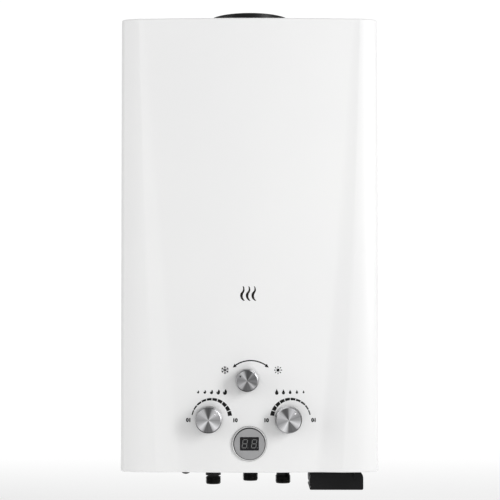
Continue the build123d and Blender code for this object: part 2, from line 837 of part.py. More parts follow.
def water_valve_body():
    x0 = water_left() + diaphragm_thickness
    x = (x0 + rim_thickness - 1, water_x + water_block_width / 2)
    y = (valve_y - water_block_depth / 2, valve_y + water_block_depth / 2)
    z = (control_z - water_block_height / 2, control_z + water_block_height / 2)
    body = block(x, y, z)
    body = chamfer(body.edges().filter_by(Axis.X), casting_chamfer)
    body += prism((x0, valve_y, control_z), (x0 + rim_thickness, valve_y, control_z), rim_radius, 8)
    body += prism((water_x, y[0] + 4, control_z), (water_x, y[0] - boss_rise, control_z), boss_radius, 8)
    inlet = block((cold_inlet_x - 13, cold_inlet_x + 13), (valve_y, fitting_y + 13), (z[0] - 1, z[0] + 18))
    body += chamfer(inlet.edges().filter_by(Axis.Z), casting_chamfer)
    body += prism((cold_inlet_x, fitting_y, fitting_seat()), (cold_inlet_x, fitting_y, z[0] + 2), seat_radius, 8)
    body -= spindle_bore(water_x, control_z)
    return body


def diaphragm():
    x = water_left()
    return prism((x, valve_y, control_z), (x + diaphragm_thickness, valve_y, control_z), rim_radius, 8)


def water_valve_lid():
    """The diaphragm chamber's lid, with the gland of the push rod."""
    x = water_left()
    outer = x - lid_thickness
    lid = prism((outer, valve_y, control_z), (x, valve_y, control_z), rim_radius, 8)
    lid -= prism((x - lid_hollow, valve_y, control_z), (x + 1, valve_y, control_z), rim_radius - 8, 8)
    lid += prism((outer - gland_length, valve_y, control_z), (outer + 1, valve_y, control_z), gland_radius, 6)
    return lid - rod((outer - gland_length - 1, valve_y, control_z), (x + 1, valve_y, control_z),
                     rod_radius + running_gap)


def push_rod():
    """The rod that the diaphragm pushes to open the gas body, with its switch flag."""
    right = water_left() - rod_end_gap
    left = gas_x + gas_block_width / 2 - rod_depth + rod_travel + 1
    shaft = rod((left, valve_y, control_z), (right, valve_y, control_z), rod_radius)
    shaft += prism((right - 1.5, valve_y, control_z), (right, valve_y, control_z), 9, 8)
    x = flag_x()
    return shaft + block((x - 1, x + 1), (valve_y - 3, valve_y + 3), (control_z - 4, control_z + 4.5))


def flag_x():
    return (gas_x + gas_block_width / 2 + 8 + water_left() - lid_thickness - gland_length) / 2 + 2


def microswitch():
    """The flow switch over the push rod, with two ears for its lever."""
    x, z = flag_x(), control_z + lever_length
    case = block((x - 11, x + 9), (valve_y - 3.2, valve_y + 3.2),
                 (z + switch_clear, z + switch_clear + switch_height))
    for side in (-1, 1):
        ear = sorted((valve_y + side * (lever_width / 2 + nest_gap), valve_y + side * 3.2))
        case += block((x - 6, x - 2), ear, (z - 2.5, z + switch_clear + 1))
    return case + rod((x - 4, valve_y - 3.2, z), (x - 4, valve_y + 3.2, z), lever_pin_radius)


def switch_bracket():
    """A strip from the gas body's top over to the switch."""
    x = flag_x()
    z = control_z + lever_length + switch_clear + switch_height
    strip = block((gas_x + gas_block_width / 2 - 14, x + 9), (valve_y - 6, valve_y + 6), (z, z + 1.2))
    post = (gas_x + gas_block_width / 2 - 14, gas_x + gas_block_width / 2 - 4)
    strip += block(post, (valve_y - 6, valve_y + 6), (control_z + gas_block_height / 2, z + 1.2))
    return strip


def switch_lever():
    """The switch's lever, hung from its pin against the push rod's collar."""
    x, z = flag_x() - 4, control_z + lever_length
    y = (valve_y - lever_width / 2, valve_y + lever_width / 2)
    face = flag_x() - 1 - rod_end_gap
    hub = rod((x, y[0], z), (x, y[1], z), lever_pin_radius + 1)
    hub += block((face - lever_sheet, face), y, (control_z + rod_radius + 1, z + 0.5))
    hub += block((x, face), y, (z - 0.1, z + 0.5))
    return hub - rod((x, y[0] - 1, z), (x, y[1] + 1, z), lever_pin_radius + running_gap)


# ---- knobs -----------------------------------------------------------------------------------


def knob_base_y(x, z, diameter):
    """The knob's back edge clears the most forward point of the cover under it."""
    reach = diameter / 2 + knob_skirt_step
    nearest = max(0.0, abs(x) - reach)
    return panel_y(nearest, z) - knob_gap


def knob(x, z, diameter, start):
    """The moulded knob on its spindle, which runs back to the bottom of its bore."""
    back = knob_base_y(x, z, diameter)
    radius = diameter / 2 + knob_skirt_step
    grip = prism((x, back, z), (x, back - knob_height + cap_depth, z), radius, knob_flat_count)
    return grip + rod((x, start, z), (x, back - 1, z), spindle_radius)


def knob_cap(x, z, diameter):
    """A turned aluminium cap on the knob's front."""
    front = knob_base_y(x, z, diameter) - knob_height + cap_depth
    return rod((x, front, z), (x, front - cap_depth, z), diameter / 2)


# ---- display ------------------------------------------------------------------------------------


def display_face():
    return -casing_depth + panel_sink


def display_bezel():
    """A round trim ring on the cover."""
    y = display_face()
    ring = rod((0, y, display_z), (0, y - bezel_thickness, display_z), bezel_diameter / 2)
    return ring - rod((0, y + 1, display_z), (0, y - 5, display_z), display_barrel_diameter / 2)


def display_disc():
    """The round face of the display, through the ring and the cover, cut for the window."""
    y = display_face()
    disc = rod((0, y + barrel_depth, display_z), (0, y - 1.6, display_z), display_barrel_diameter / 2 - running_gap)
    x = display_window_width / 2 + running_gap
    z = display_window_height / 2 + running_gap
    return disc - block((-x, x), (y - 3, y + 1), (display_z - z, display_z + z))


def display_window():
    y = display_face()
    x, z = display_window_width / 2, display_window_height / 2
    window = block((-x, x), (y - 1.4, y + 1), (display_z - z, display_z + z))
    return chamfer(window.edges().filter_by(Axis.Y), 1)


def display_module():
    """The display's board in its holder, behind the bezel's barrel."""
    y = display_face() + barrel_depth
    x, z = module_width / 2, module_height / 2
    module = block((-x, x), (y, y + module_depth - 8), (display_z - z, display_z + z))
    return chamfer(module.edges().filter_by(Axis.Y), 3)


# ---- base plate and fittings ------------------------------------------------------------------


def base_plate():
    back = -back_plate_sheet - nest_gap
    top = base_z + plate_sheet
    plate = pressed_form(nest_inset, base_z, top, back)
    rim = pressed_form(nest_inset, top - 0.5, top + base_rim, back)
    rim -= pressed_form(nest_inset + plate_sheet, top - 1, top + base_rim + 1, back + 1)
    rim -= block((-casing_width, casing_width), (-plate_flange - nest_gap, 5), (top, top + 12))
    plate += rim
    side_room = casing_width / 2 - nest_inset - back_plate_sheet - nest_gap
    for side in (-1, 1):
        x = sorted((side * side_room, side * casing_width))
        plate -= block(x, (-plate_flange - nest_gap, 5), (base_z - 1, top + 12))
    for x in (hot_outlet_x, gas_inlet_x, cold_inlet_x):
        plate -= rod((x, fitting_y, base_z - 1), (x, fitting_y, top + 1), thread_radius + seal_gap)
    plate -= rod((drain_x, fitting_y, base_z - 1), (drain_x, fitting_y, top + 1), drain_radius + nest_gap)
    box_x, box_y = battery_half()
    plate -= block((battery_x - box_x - nest_gap, battery_x + box_x + nest_gap),
                   (battery_y - box_y - ear_reach - nest_gap, battery_y + box_y + ear_reach + nest_gap),
                   (base_z - 1, top + 1))
    for index in range(base_slot_count):
        y = -casing_depth + 22 + index * 8
        for x in (-120, 60):
            plate -= block((x - 25, x + 25), (y - 1.75, y + 1.75), (base_z - 1, top + 1))
    return plate


def fitting(x, drop, top):
    """A threaded pipe end with a hexagon that stands on the base plate."""
    end = bottom_z - drop
    thread_top = end + thread_length
    body = rod((x, fitting_y, end), (x, fitting_y, thread_top), thread_radius)
    body += rod((x, fitting_y, thread_top - 1), (x, fitting_y, thread_top + relief_length + 1), relief_radius)
    body += rod((x, fitting_y, thread_top + relief_length), (x, fitting_y, top), thread_radius)
    body += prism((x, fitting_y, base_z + plate_sheet), (x, fitting_y, top), thread_radius + 3.5, 6)
    return body - rod((x, fitting_y, end - 1), (x, fitting_y, end + fitting_depth), fitting_bore)


def fitting_seat():
    return base_z + plate_sheet + grommet_lip + nest_gap


def gas_inlet():
    return fitting(gas_inlet_x, gas_inlet_drop, fitting_seat())


def cold_inlet():
    return fitting(cold_inlet_x, cold_inlet_drop, fitting_seat())


def hot_outlet():
    """The hot outlet also has a hexagon over the base plate, with a socket for its pipe."""
    seat = fitting_seat()
    top = seat + socket_height
    outlet = fitting(hot_outlet_x, hot_outlet_drop, seat)
    return outlet + prism((hot_outlet_x, fitting_y, seat - 1), (hot_outlet_x, fitting_y, top), union_radius, 6)


def drain_plug():
    """The dome-headed water drain plug."""
    low = bottom_z - drain_drop
    plug = rod((drain_x, fitting_y, low), (drain_x, fitting_y, base_z + plate_sheet + 1), drain_radius)
    return plug + prism((drain_x, fitting_y, base_z + plate_sheet), (drain_x, fitting_y, base_z + 12), drain_radius + 3, 6)


# ---- battery box ---------------------------------------------------------------------------------


def battery_half():
    """Half width and half length of the battery tray."""
    return (cell_diameter + cell_gap + battery_wall, cell_length / 2 + contact_space + battery_wall)


def hinge_point():
    half_x = battery_half()[0]
    return battery_x + half_x - hinge_round, tray_top() - hinge_round


def tray_top():
    return bottom_z - 1.5


def battery_tray():
    """The swinging tray that holds the two cells from below."""
    half_x, half_y = battery_half()
    x = (battery_x - half_x, battery_x + half_x)
    y = (battery_y - half_y, battery_y + half_y)
    low = bottom_z - battery_drop
    tray = block(x, y, (low, tray_top()))
    tray = chamfer(tray.edges().filter_by(Axis.Y).sort_by(Axis.Z)[:2], 1.5)
    tray = fillet(tray.edges().filter_by(Axis.Y).sort_by_distance(Vector(x[1], battery_y, tray_top()))[0],
                  hinge_round - 0.01)
    wall = battery_wall
    tray -= block((x[0] + wall, x[1] - wall), (y[0] + wall, y[1] - wall), (low + wall, tray_top() + 1))
    hinge_x, hinge_z = hinge_point()
    tray -= rod((hinge_x, y[0] - 1, hinge_z), (hinge_x, y[1] + 1, hinge_z), hinge_pin_radius + running_gap)
    # finger ridges on the latch side
    for z in (tray_top() - 3, low + 5):
        tray += block((x[0] - 1.0, x[0] + 0.5), (battery_y - 14, battery_y + 14), (z - 0.8, z + 0.8))
    return tray


def battery_cells():
    z = bottom_z - battery_drop + battery_wall + cell_diameter / 2 + nest_gap / 2
    cells = []
    for side in (-1, 1):
        x = battery_x + side * (cell_diameter + cell_gap) / 2
        y = (battery_y - cell_length / 2, battery_y + cell_length / 2)
        cells.append(prism((x, y[0], z), (x, y[1], z), cell_diameter / 2, 24))
    return Compound(children=cells)


def battery_holder():
    """The fixed cap over the tray, with two ears that carry its hinge pins."""
    half_x, half_y = battery_half()
    x = (battery_x - half_x, battery_x + half_x)
    y = (battery_y - half_y, battery_y + half_y)
    cell_top = bottom_z - battery_drop + battery_wall + cell_diameter + nest_gap
    low = tray_top() + 0.6
    roof = cell_top + 2
    cap = block(x, y, (low, roof + battery_wall))
    cap -= block((x[0] + battery_wall, x[1] - battery_wall), (y[0] + battery_wall, y[1] - battery_wall),
                 (low - 1, roof))
    flange = block((x[0] - 5, x[1] + 5), (y[0] - 5, y[1] + 5),
                   (base_z + plate_sheet, base_z + plate_sheet + 1.6))
    flange -= block((x[0] + 1, x[1] - 1), (y[0] + 1, y[1] - 1), (base_z, base_z + 5))
    cap += flange
    hinge_x, hinge_z = hinge_point()
    for end, face in ((-1, y[0]), (1, y[1])):
        ear_y = sorted((face + end * nest_gap, face + end * ear_reach))
        ear = block((hinge_x - 5, hinge_x + 5), ear_y, (hinge_z, base_z + plate_sheet + 1))
        ear += prism((hinge_x, ear_y[0], hinge_z), (hinge_x, ear_y[1], hinge_z), 5, 8)
        cap += ear
        pin = sorted((face + end * (nest_gap + 1), face - end * battery_wall))
        cap += rod((hinge_x, pin[0], hinge_z), (hinge_x, pin[1], hinge_z), hinge_pin_radius)
    return cap


def battery_contacts():
    """Sprung strips at the holder's front and back that meet the cells' ends."""
    half_y = battery_half()[1] - battery_wall
    roof = bottom_z - battery_drop + battery_wall + cell_diameter + nest_gap + 2
    strips = []
    for side in (-1, 1):
        x = battery_x + side * (cell_diameter + cell_gap) / 2
        for end in (-1, 1):
            y = sorted((battery_y + end * half_y, battery_y + end * (half_y - 0.5)))
            strips.append(block((x - 6, x + 6), y, (tray_top() + 1, roof)))
    return Compound(children=strips)


# ---- pipes and electrical parts ---------------------------------------------------------------


def cold_feed_pipe():
    """From the water valve's side up to the core's first tube."""
    z = control_z + water_outlet_rise
    start_x = water_x + water_block_width / 2
    end_x = chamber_width / 2 + core_tube_stub
    points = [(start_x, valve_y, z), (riser_x, valve_y, z), (riser_x, valve_y, tube_z()), (end_x, valve_y, tube_z())]
    return mitred_pipe(points, pipe_radius)


def hot_outlet_pipe():
    """From the core's last tube down the left side to the hot outlet's socket."""
    tube_y = core_tube_y(core_tube_count - 1)
    high, low = bottom_z + hot_turn_height, bottom_z + hot_run_height
    end_z = fitting_seat() + socket_height
    start_x = -chamber_width / 2 - core_tube_stub
    points = [(start_x, tube_y, tube_z()), (-riser_x, tube_y, tube_z()), (-riser_x, tube_y, high),
              (hot_outlet_x, fitting_y, low), (hot_outlet_x, fitting_y, end_z)]
    return mitred_pipe(points, pipe_radius)


def gas_feed_pipe():
    """From the gas body's top to the back of the season valve."""
    end_y = manifold_axis()[0] + 14
    top = control_z + gas_block_height / 2
    points = [(season_x, end_y, season_z), (season_x, valve_y, season_z), (gas_x, valve_y, season_z),
              (gas_x, valve_y, top)]
    return mitred_pipe(points, gas_pipe_radius)


# ---- carriers and electrical parts ------------------------------------------------------


def carrier(x, z, height):
    """A hat-section bracket between the back plate and the chamber's back."""
    y = (chamber_back, -back_plate_sheet)
    half = carrier_width / 2
    hat = block((x - half, x + half), y, (z - height / 2, z + height / 2))
    hat -= block((x - half + carrier_sheet, x + half - carrier_sheet), (y[0] + carrier_sheet, y[1] + 1),
                 (z - height, z + height))
    foot_y = (y[1] - carrier_sheet, y[1])
    for side in (-1, 1):
        foot = sorted((x + side * (half - carrier_sheet), x + side * (half + carrier_foot)))
        hat += block(foot, foot_y, (z - height / 2, z + height / 2))
    return hat


def carriers():
    """Two brackets for the finned core and two for the burner frame."""
    hats = []
    for side in (-1, 1):
        hats.append(carrier(side * carrier_spread, tube_z(), core_carrier_height))
        hats.append(carrier(side * carrier_spread, chamber_z - frame_carrier_height / 2, frame_carrier_height))
    return Compound(children=hats)


def control_box_span():
    back = -back_plate_sheet - rib_depth
    z = bottom_z + control_box_z_rise
    return ((control_box_x - control_box_width / 2, control_box_x + control_box_width / 2),
            (back - control_box_depth, back),
            (z - control_box_height / 2, z + control_box_height / 2))


def control_box():
    """The ignition controller's tray, on the back plate's rib."""
    x, y, z = control_box_span()
    box = chamfer(block(x, (y[0] + 6, y[1]), z).edges().filter_by(Axis.Y), 3)
    inner = block((x[0] + 2, x[1] - 2), (y[0], y[1] - 2), (z[0] + 2, z[1] - 2))
    return box - inner


def control_box_lid():
    x, y, z = control_box_span()
    lid = chamfer(block(x, (y[0], y[0] + 6), z).edges().filter_by(Axis.Y), 3)
    inner = block((x[0] + 2, x[1] - 2), (y[0] + 2, y[0] + 7), (z[0] + 2, z[1] - 2))
    lid -= inner
    for index in range(4):
        plug_x = x[0] + 12 + index * 14
        lid -= block((plug_x - 4, plug_x + 4), (y[0] - 1, y[0] + 3), (z[0] + 8, z[0] + 14))
    return lid


def thermal_cutout():
    """A disc thermostat on the chamber's front."""
    x, z = cutout_x, chamber_z + chamber_height / 2
    disc = prism((x, chamber_front, z), (x, chamber_front - 6, z), 8, 8)
    for side in (-1, 1):
        disc += block((x + side * 4 - 1.5, x + side * 4 + 1.5), (chamber_front - 11, chamber_front - 5),
                      (z - 0.4, z + 0.4))
    return disc


def spill_sensor():
    """A disc thermostat on the draft hood, beside its vent."""
    x, z = hood_vent_width / 2 + 14, hood_z + 3 + hood_vent_height / 2
    disc = prism((x, chamber_front, z), (x, chamber_front - 6, z), 7.5, 8)
    for side in (-1, 1):
        tab = block((x + side * 4 - 1.5, x + side * 4 + 1.5), (chamber_front - 12, chamber_front - 5),
                    (z - 0.4, z + 0.4))
        disc += tab
    return disc


NODES = [front_cover, cover_screws, back_plate, top_plate, flue_collar, flue_flange, draft_hood,
         heat_fins, core_tubes, return_headers, combustion_chamber, flame_window, burner_blades,
         burner_frame, burner_manifold, gas_nozzles, igniter_electrode, flame_sensor,
         electrode_brackets, gas_valve_body, solenoid_valve, season_valve, water_valve_body,
         diaphragm, water_valve_lid, cold_feed_pipe, hot_outlet_pipe, gas_feed_pipe, carriers,
         control_box, control_box_lid, thermal_cutout, spill_sensor, push_rod, microswitch,
         switch_bracket, switch_lever, display_bezel, display_disc, display_window,
         display_module, base_plate, gas_inlet, cold_inlet, hot_outlet, drain_plug,
         battery_tray, battery_cells, battery_holder, battery_contacts]


if __name__ == "__main__":
    os.makedirs("parts", exist_ok=True)
    for make in NODES:
        export_step(make(), "parts/" + make.__name__ + ".step")
    depth = valve_front() - boss_rise + spindle_depth - 1
    season_depth = season_front() + spindle_depth - 1
    for name, x, z, diameter, start in (
            ("gas", gas_x, control_z, main_knob_diameter, depth),
            ("water", water_x, control_z, main_knob_diameter, depth),
            ("season", season_x, season_z, season_knob_diameter, season_depth)):
        export_step(knob(x, z, diameter, start), "parts/" + name + "_knob.step")
        export_step(knob_cap(x, z, diameter), "parts/" + name + "_knob_cap.step")
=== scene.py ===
"""A wall-hung gas water heater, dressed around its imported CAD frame."""
import math

import bmesh
import bpy
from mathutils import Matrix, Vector


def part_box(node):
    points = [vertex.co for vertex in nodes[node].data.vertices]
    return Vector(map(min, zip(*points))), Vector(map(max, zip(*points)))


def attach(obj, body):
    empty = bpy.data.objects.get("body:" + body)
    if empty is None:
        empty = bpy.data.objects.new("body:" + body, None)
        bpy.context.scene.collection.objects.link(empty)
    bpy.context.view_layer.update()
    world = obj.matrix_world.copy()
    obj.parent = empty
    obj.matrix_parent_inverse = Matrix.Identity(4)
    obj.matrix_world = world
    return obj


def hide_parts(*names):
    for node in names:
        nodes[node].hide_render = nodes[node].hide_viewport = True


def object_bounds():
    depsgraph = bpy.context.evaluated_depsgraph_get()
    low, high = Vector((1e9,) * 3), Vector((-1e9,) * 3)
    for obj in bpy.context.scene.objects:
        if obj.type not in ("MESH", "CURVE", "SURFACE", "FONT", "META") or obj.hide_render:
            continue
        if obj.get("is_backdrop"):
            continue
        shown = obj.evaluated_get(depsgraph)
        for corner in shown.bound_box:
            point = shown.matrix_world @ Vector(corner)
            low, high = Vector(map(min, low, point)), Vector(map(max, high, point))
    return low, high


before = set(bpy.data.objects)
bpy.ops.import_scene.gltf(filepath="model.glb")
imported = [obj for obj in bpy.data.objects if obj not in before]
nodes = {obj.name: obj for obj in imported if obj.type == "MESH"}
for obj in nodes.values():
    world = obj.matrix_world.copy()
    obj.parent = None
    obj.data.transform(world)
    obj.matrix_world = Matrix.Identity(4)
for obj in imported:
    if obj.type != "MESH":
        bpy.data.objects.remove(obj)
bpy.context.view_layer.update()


# ---- pressed front cover -------------------------------------
# One drawn sheet of steel in white enamel. It wraps the front and both sides, folds in to a
# lip above and below, and is pressed with a shallow panel between two slanted strips.

def corners(node):
    """Lowest and highest corner of a CAD piece, to a hundredth of a millimetre."""
    return [[round(value, 5) for value in corner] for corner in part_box(node)]


def centre_of(node):
    """Middle of a CAD piece, to a hundredth of a millimetre."""
    low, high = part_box(node)
    return [round((near + far) / 2, 5) for near, far in zip(low, high)]


cover_low, cover_high = corners("front_cover")
half_width, half_height = cover_high[0], cover_high[2]
panel_front, wall_side = cover_low[1], cover_high[1]
depth = 0.150
bow_radius = 2.088
shoulder_radius = 0.076
shoulder_turn = math.radians(25)
edge_radius = 0.010
fold_radius = 0.0022
lip_width = 0.015
lip_corner = 0.024
sheet = 0.001
crease_low, crease_high = 0.1225, 0.1465
panel_low, panel_high = 0.090, 0.1405
strip_rise = math.tan(math.radians(6.0))
panel_softness, crease_softness = 0.0009, 0.0003

edge_x = half_width - edge_radius
shoulder_x = edge_x - (shoulder_radius - edge_radius) * math.sin(shoulder_turn)
bow_angle = math.asin(shoulder_x / (bow_radius - shoulder_radius))
bow_y = bow_radius - depth
shoulder_y = bow_y - (bow_radius - shoulder_radius) * math.cos(bow_angle)
edge_y = shoulder_y - (shoulder_radius - edge_radius) * math.cos(shoulder_turn)
bow_end_x = bow_radius * math.sin(bow_angle)


def bow_depth(x):
    """Front of the plain wrapped sheet at a distance from the middle."""
    if x <= bow_end_x:
        return bow_y - math.sqrt(bow_radius ** 2 - x ** 2)
    return shoulder_y - math.sqrt(shoulder_radius ** 2 - (x - shoulder_x) ** 2)


def share_up(z):
    """How far up the casing a height is, from 0 at the bottom to 1 at the top."""
    return (z + half_height) / (2 * half_height)


def crease_at(z):
    """Half width and depth of the outer crease at a height."""
    share = share_up(z)
    low, high = bow_depth(crease_low), bow_depth(crease_high)
    return crease_low + (crease_high - crease_low) * share, low + (high - low) * share


def crown_radius(share):
    """Radius of the pressed panel's bow, a share of the way up."""
    found = []
    for crease_x, panel_x in ((crease_low, panel_low), (crease_high, panel_high)):
        rise = bow_depth(crease_x) + (crease_x - panel_x) * strip_rise - panel_front
        found.append((panel_x ** 2 + rise ** 2) / (2 * rise))
    return found[0] + (found[1] - found[0]) * share


def panel_surface(x, z):
    """Depth of the pressed panel's face."""
    radius = crown_radius(share_up(z))
    return panel_front + radius - math.sqrt(radius ** 2 - x ** 2)


def strip_surface(x, z):
    """Depth of the slanted strip's face, which sinks from the crease towards the panel."""
    crease_x, crease_y = crease_at(z)
    return crease_y + (crease_x - abs(x)) * strip_rise


def panel_edge(z):
    """Half width at which the panel meets the slanted strip, found by halving."""
    low, high = 0.06, crease_at(z)[0]
    for _ in range(40):
        middle = (low + high) / 2
        if panel_surface(middle, z) < strip_surface(middle, z):
            low = middle
        else:
            high = middle
    return low


def front_depth(x, z):
    """The pressed front, with a soft inner bend and a crisper outer crease."""
    x = abs(x)
    panel, strip = panel_surface(x, z), strip_surface(x, z)
    pressed = (panel + strip - math.sqrt((panel - strip) ** 2 + panel_softness ** 2)) / 2
    plain = bow_depth(x)
    return (plain + pressed + math.sqrt((plain - pressed) ** 2 + crease_softness ** 2)) / 2


def spaced(start, end, count, first=1):
    """Even steps from a start to an end, without the start itself unless first is 0."""
    return [start + (end - start) * step / count for step in range(first, count + 1)]


bend_reach, crease_reach, most_of_strip = 0.006, 0.003, 0.35
shoulder_lead = 0.3


def cover_half_row(z):
    """Points of the cover's plan at one height, from the middle out to the wall side."""
    crease_x = crease_at(z)[0]
    inner = panel_edge(z)
    room = most_of_strip * (crease_x - inner)
    soft, crisp = min(bend_reach, room), min(crease_reach, room)
    across = spaced(0.0, inner - soft, 24, 0) + spaced(inner - soft, inner + soft, 8)
    across += spaced(inner + soft, crease_x - crisp, 6) + spaced(crease_x - crisp, crease_x + crisp, 8)
    row = [(x, front_depth(x, z)) for x in across]
    if across[-1] < bow_end_x:
        row += [(x, bow_depth(x)) for x in spaced(across[-1], bow_end_x, 4)]
        turns = spaced(math.asin((bow_end_x - shoulder_x) / shoulder_radius), shoulder_turn, 8)
    else:
        first = math.asin(max(0.0, min(1.0, (across[-1] - shoulder_x) / shoulder_radius)))
        second = first + (shoulder_turn - first) * shoulder_lead
        turns = spaced(first, second, 4) + spaced(second, shoulder_turn, 8)
    row += [(shoulder_x + shoulder_radius * math.sin(turn), shoulder_y - shoulder_radius * math.cos(turn))
            for turn in turns]
    row += [(edge_x + edge_radius * math.sin(turn), edge_y - edge_radius * math.cos(turn))
            for turn in spaced(shoulder_turn, math.pi / 2, 14)]
    row += [(half_width, y) for y in spaced(edge_y, wall_side, 6)]
    return row


def cover_row(z):
    """The whole plan at one height, from the left wall side round to the right."""
    half = cover_half_row(z)
    return [(-x, y) for x, y in reversed(half[1:])] + half


def on_mouth(x, y):
    """Where a plan point lands on the edge of the cover's open mouth."""
    side = math.copysign(1, x)
    mouth_x, mouth_y = half_width - lip_width, -depth + lip_width
    centre_x, centre_y = mouth_x - lip_corner, mouth_y + lip_corner
    if abs(x) > centre_x and y < centre_y:
        away = Vector((abs(x) - centre_x, y - centre_y)).normalized() * lip_corner
        return side * (centre_x + away.x), centre_y + away.y
    if abs(x) > centre_x:
        return side * mouth_x, y
    return x, mouth_y


def drawn_in(row, inset):
    """A plan row moved inward, towards the edge of the mouth."""
    moved = []
    for x, y in row:
        to_x, to_y = on_mouth(x, y)
        along = Vector((to_x - x, to_y - y)).normalized() * inset
        moved.append((x + along.x, y + along.y))
    return moved


def lip(line, share):
    """The cover's first or last row, moved a share of the way to the edge of the mouth."""
    moved = []
    for x, y, z in line:
        to_x, to_y = on_mouth(x, y)
        moved.append((x + (to_x - x) * share, y + (to_y - y) * share, z))
    return moved


def mesh_piece(name, points, faces, material, sharp=35):
    """A mesh object from points and faces, smooth except past an angle."""
    mesh = bpy.data.meshes.new(name)
    mesh.from_pydata([Vector(p) for p in points], [], faces)
    mesh.validate()
    mesh.shade_smooth()
    mesh.set_sharp_from_angle(angle=math.radians(sharp))
    piece = bpy.data.objects.new(name, mesh)
    bpy.context.scene.collection.objects.link(piece)
    piece.data.materials.append(material)
    return piece


def grid_faces(rows, columns, closed=False):
    """Quads between rows of points; closed joins each row's end to its start."""
    faces = []
    for row in range(rows - 1):
        for column in range(columns if closed else columns - 1):
            following = (column + 1) % columns
            low, high = row * columns, (row + 1) * columns
            faces.append((low + column, low + following, high + following, high + column))
    return faces


def noise_into(tree, scale, detail, stretch=(1, 1, 1)):
    """A noise texture in the piece's own space, stretched along its axes."""
    place = tree.nodes.new("ShaderNodeTexCoord")
    mapping = tree.nodes.new("ShaderNodeMapping")
    mapping.inputs["Scale"].default_value = stretch
    noise = tree.nodes.new("ShaderNodeTexNoise")
    noise.inputs["Scale"].default_value = scale
    noise.inputs["Detail"].default_value = detail
    tree.links.new(place.outputs["Object"], mapping.inputs["Vector"])
    tree.links.new(mapping.outputs["Vector"], noise.inputs["Vector"])
    return noise


def grained(tree, source, low, high, bump, bump_depth):
    """Gives a surface its gloss, from a low to a high roughness, and its relief from one grain."""
    shader = tree.nodes["Principled BSDF"]
    spread = tree.nodes.new("ShaderNodeMapRange")
    spread.inputs["To Min"].default_value = low
    spread.inputs["To Max"].default_value = high
    tree.links.new(source, spread.inputs["Value"])
    tree.links.new(spread.outputs["Result"], shader.inputs["Roughness"])
    relief = tree.nodes.new("ShaderNodeBump")
    relief.inputs["Strength"].default_value = bump
    relief.inputs["Distance"].default_value = bump_depth
    tree.links.new(source, relief.inputs["Height"])
    tree.links.new(relief.outputs["Normal"], shader.inputs["Normal"])


def finish(name, colour, second, rough, metal=0.0, coat=0.0, grain=(400, 4), patch=(12, 3),
           stretch=(1, 1, 1), bump=0.05, bump_depth=0.0002, rough_spread=0.08, shine=0.5):
    """A surface whose colour, gloss and grain all vary a little over it."""
    material = bpy.data.materials.new(name)
    material.use_nodes = True
    tree = material.node_tree
    shader = tree.nodes["Principled BSDF"]
    shader.inputs["Metallic"].default_value = metal
    shader.inputs["Coat Weight"].default_value = coat
    shader.inputs["Coat Roughness"].default_value = 0.12
    shader.inputs["Specular IOR Level"].default_value = shine
    patches = noise_into(tree, patch[0], patch[1])
    ramp = tree.nodes.new("ShaderNodeValToRGB")
    ramp.color_ramp.elements[0].position = 0.35
    ramp.color_ramp.elements[1].position = 0.65
    ramp.color_ramp.elements[0].color = (*colour, 1)
    ramp.color_ramp.elements[1].color = (*second, 1)
    tree.links.new(patches.outputs["Fac"], ramp.inputs["Fac"])
    tree.links.new(ramp.outputs["Color"], shader.inputs["Base Color"])
    fine = noise_into(tree, grain[0], grain[1], stretch)
    low, high = max(0.02, rough - rough_spread), rough + rough_spread
    grained(tree, fine.outputs["Fac"], low, high, bump, bump_depth)
    return material


white_enamel = finish("white enamel", (0.805, 0.805, 0.805), (0.82, 0.82, 0.817), 0.38, coat=0.06,
                      grain=(900, 2), patch=(5, 2), bump=0.04, rough_spread=0.03, shine=0.34)

fold = [(fold_radius * (1 - math.sin(turn)), fold_radius * (1 - math.cos(turn)))
        for turn in spaced(0.0, math.pi / 2, 8, 0)]
levels = [(-half_height + inward, inset) for inward, inset in reversed(fold)]
levels += [(z, 0.0) for z in spaced(fold_radius - half_height, half_height - fold_radius, 72)[:-1]]
levels += [(half_height - inward, inset) for inward, inset in fold]
plan = [[(x, y, z) for x, y in drawn_in(cover_row(z), inset)] for z, inset in levels]
plan = [lip(plan[0], 1.0), lip(plan[0], 0.5)] + plan + [lip(plan[-1], 0.5), lip(plan[-1], 1.0)]
cover = mesh_piece("cover_skin", [spot for line in plan for spot in line],
                   grid_faces(len(plan), len(plan[0])), white_enamel)
thickness = cover.modifiers.new("sheet", "SOLIDIFY")
thickness.thickness = sheet
thickness.offset = -1

# wave-shaped flame slots and the round holes for the spindles and the display, cut in the press
gas_x, _, control_z = centre_of("gas_knob")
water_x = centre_of("water_knob")[0]
season_x, _, season_z = centre_of("season_knob")
display_z = centre_of("display_disc")[2]
sight_x, sight_z, sight_pitch = -0.0016, -0.0648, 0.0074
spindle_hole, display_hole = 0.007, 0.0213
cut_front, cut_back = -0.156, -0.128


def arc_through(start, middle, end, count):
    """Points along the arc through three points, without the last."""
    ax, az = start
    bx, bz = middle
    cx, cz = end
    area = 2 * (ax * (bz - cz) + bx * (cz - az) + cx * (az - bz))
    a2, b2, c2 = ax * ax + az * az, bx * bx + bz * bz, cx * cx + cz * cz
    hub_x = (a2 * (bz - cz) + b2 * (cz - az) + c2 * (az - bz)) / area
    hub_z = (a2 * (cx - bx) + b2 * (ax - cx) + c2 * (bx - ax)) / area
    first = math.atan2(az - hub_z, ax - hub_x)
    turn = (math.atan2(cz - hub_z, cx - hub_x) - first + math.pi) % (2 * math.pi) - math.pi
    radius = math.hypot(ax - hub_x, az - hub_z)
    return [(hub_x + radius * math.cos(bearing), hub_z + radius * math.sin(bearing))
            for bearing in (first + turn * k / count for k in range(count))]


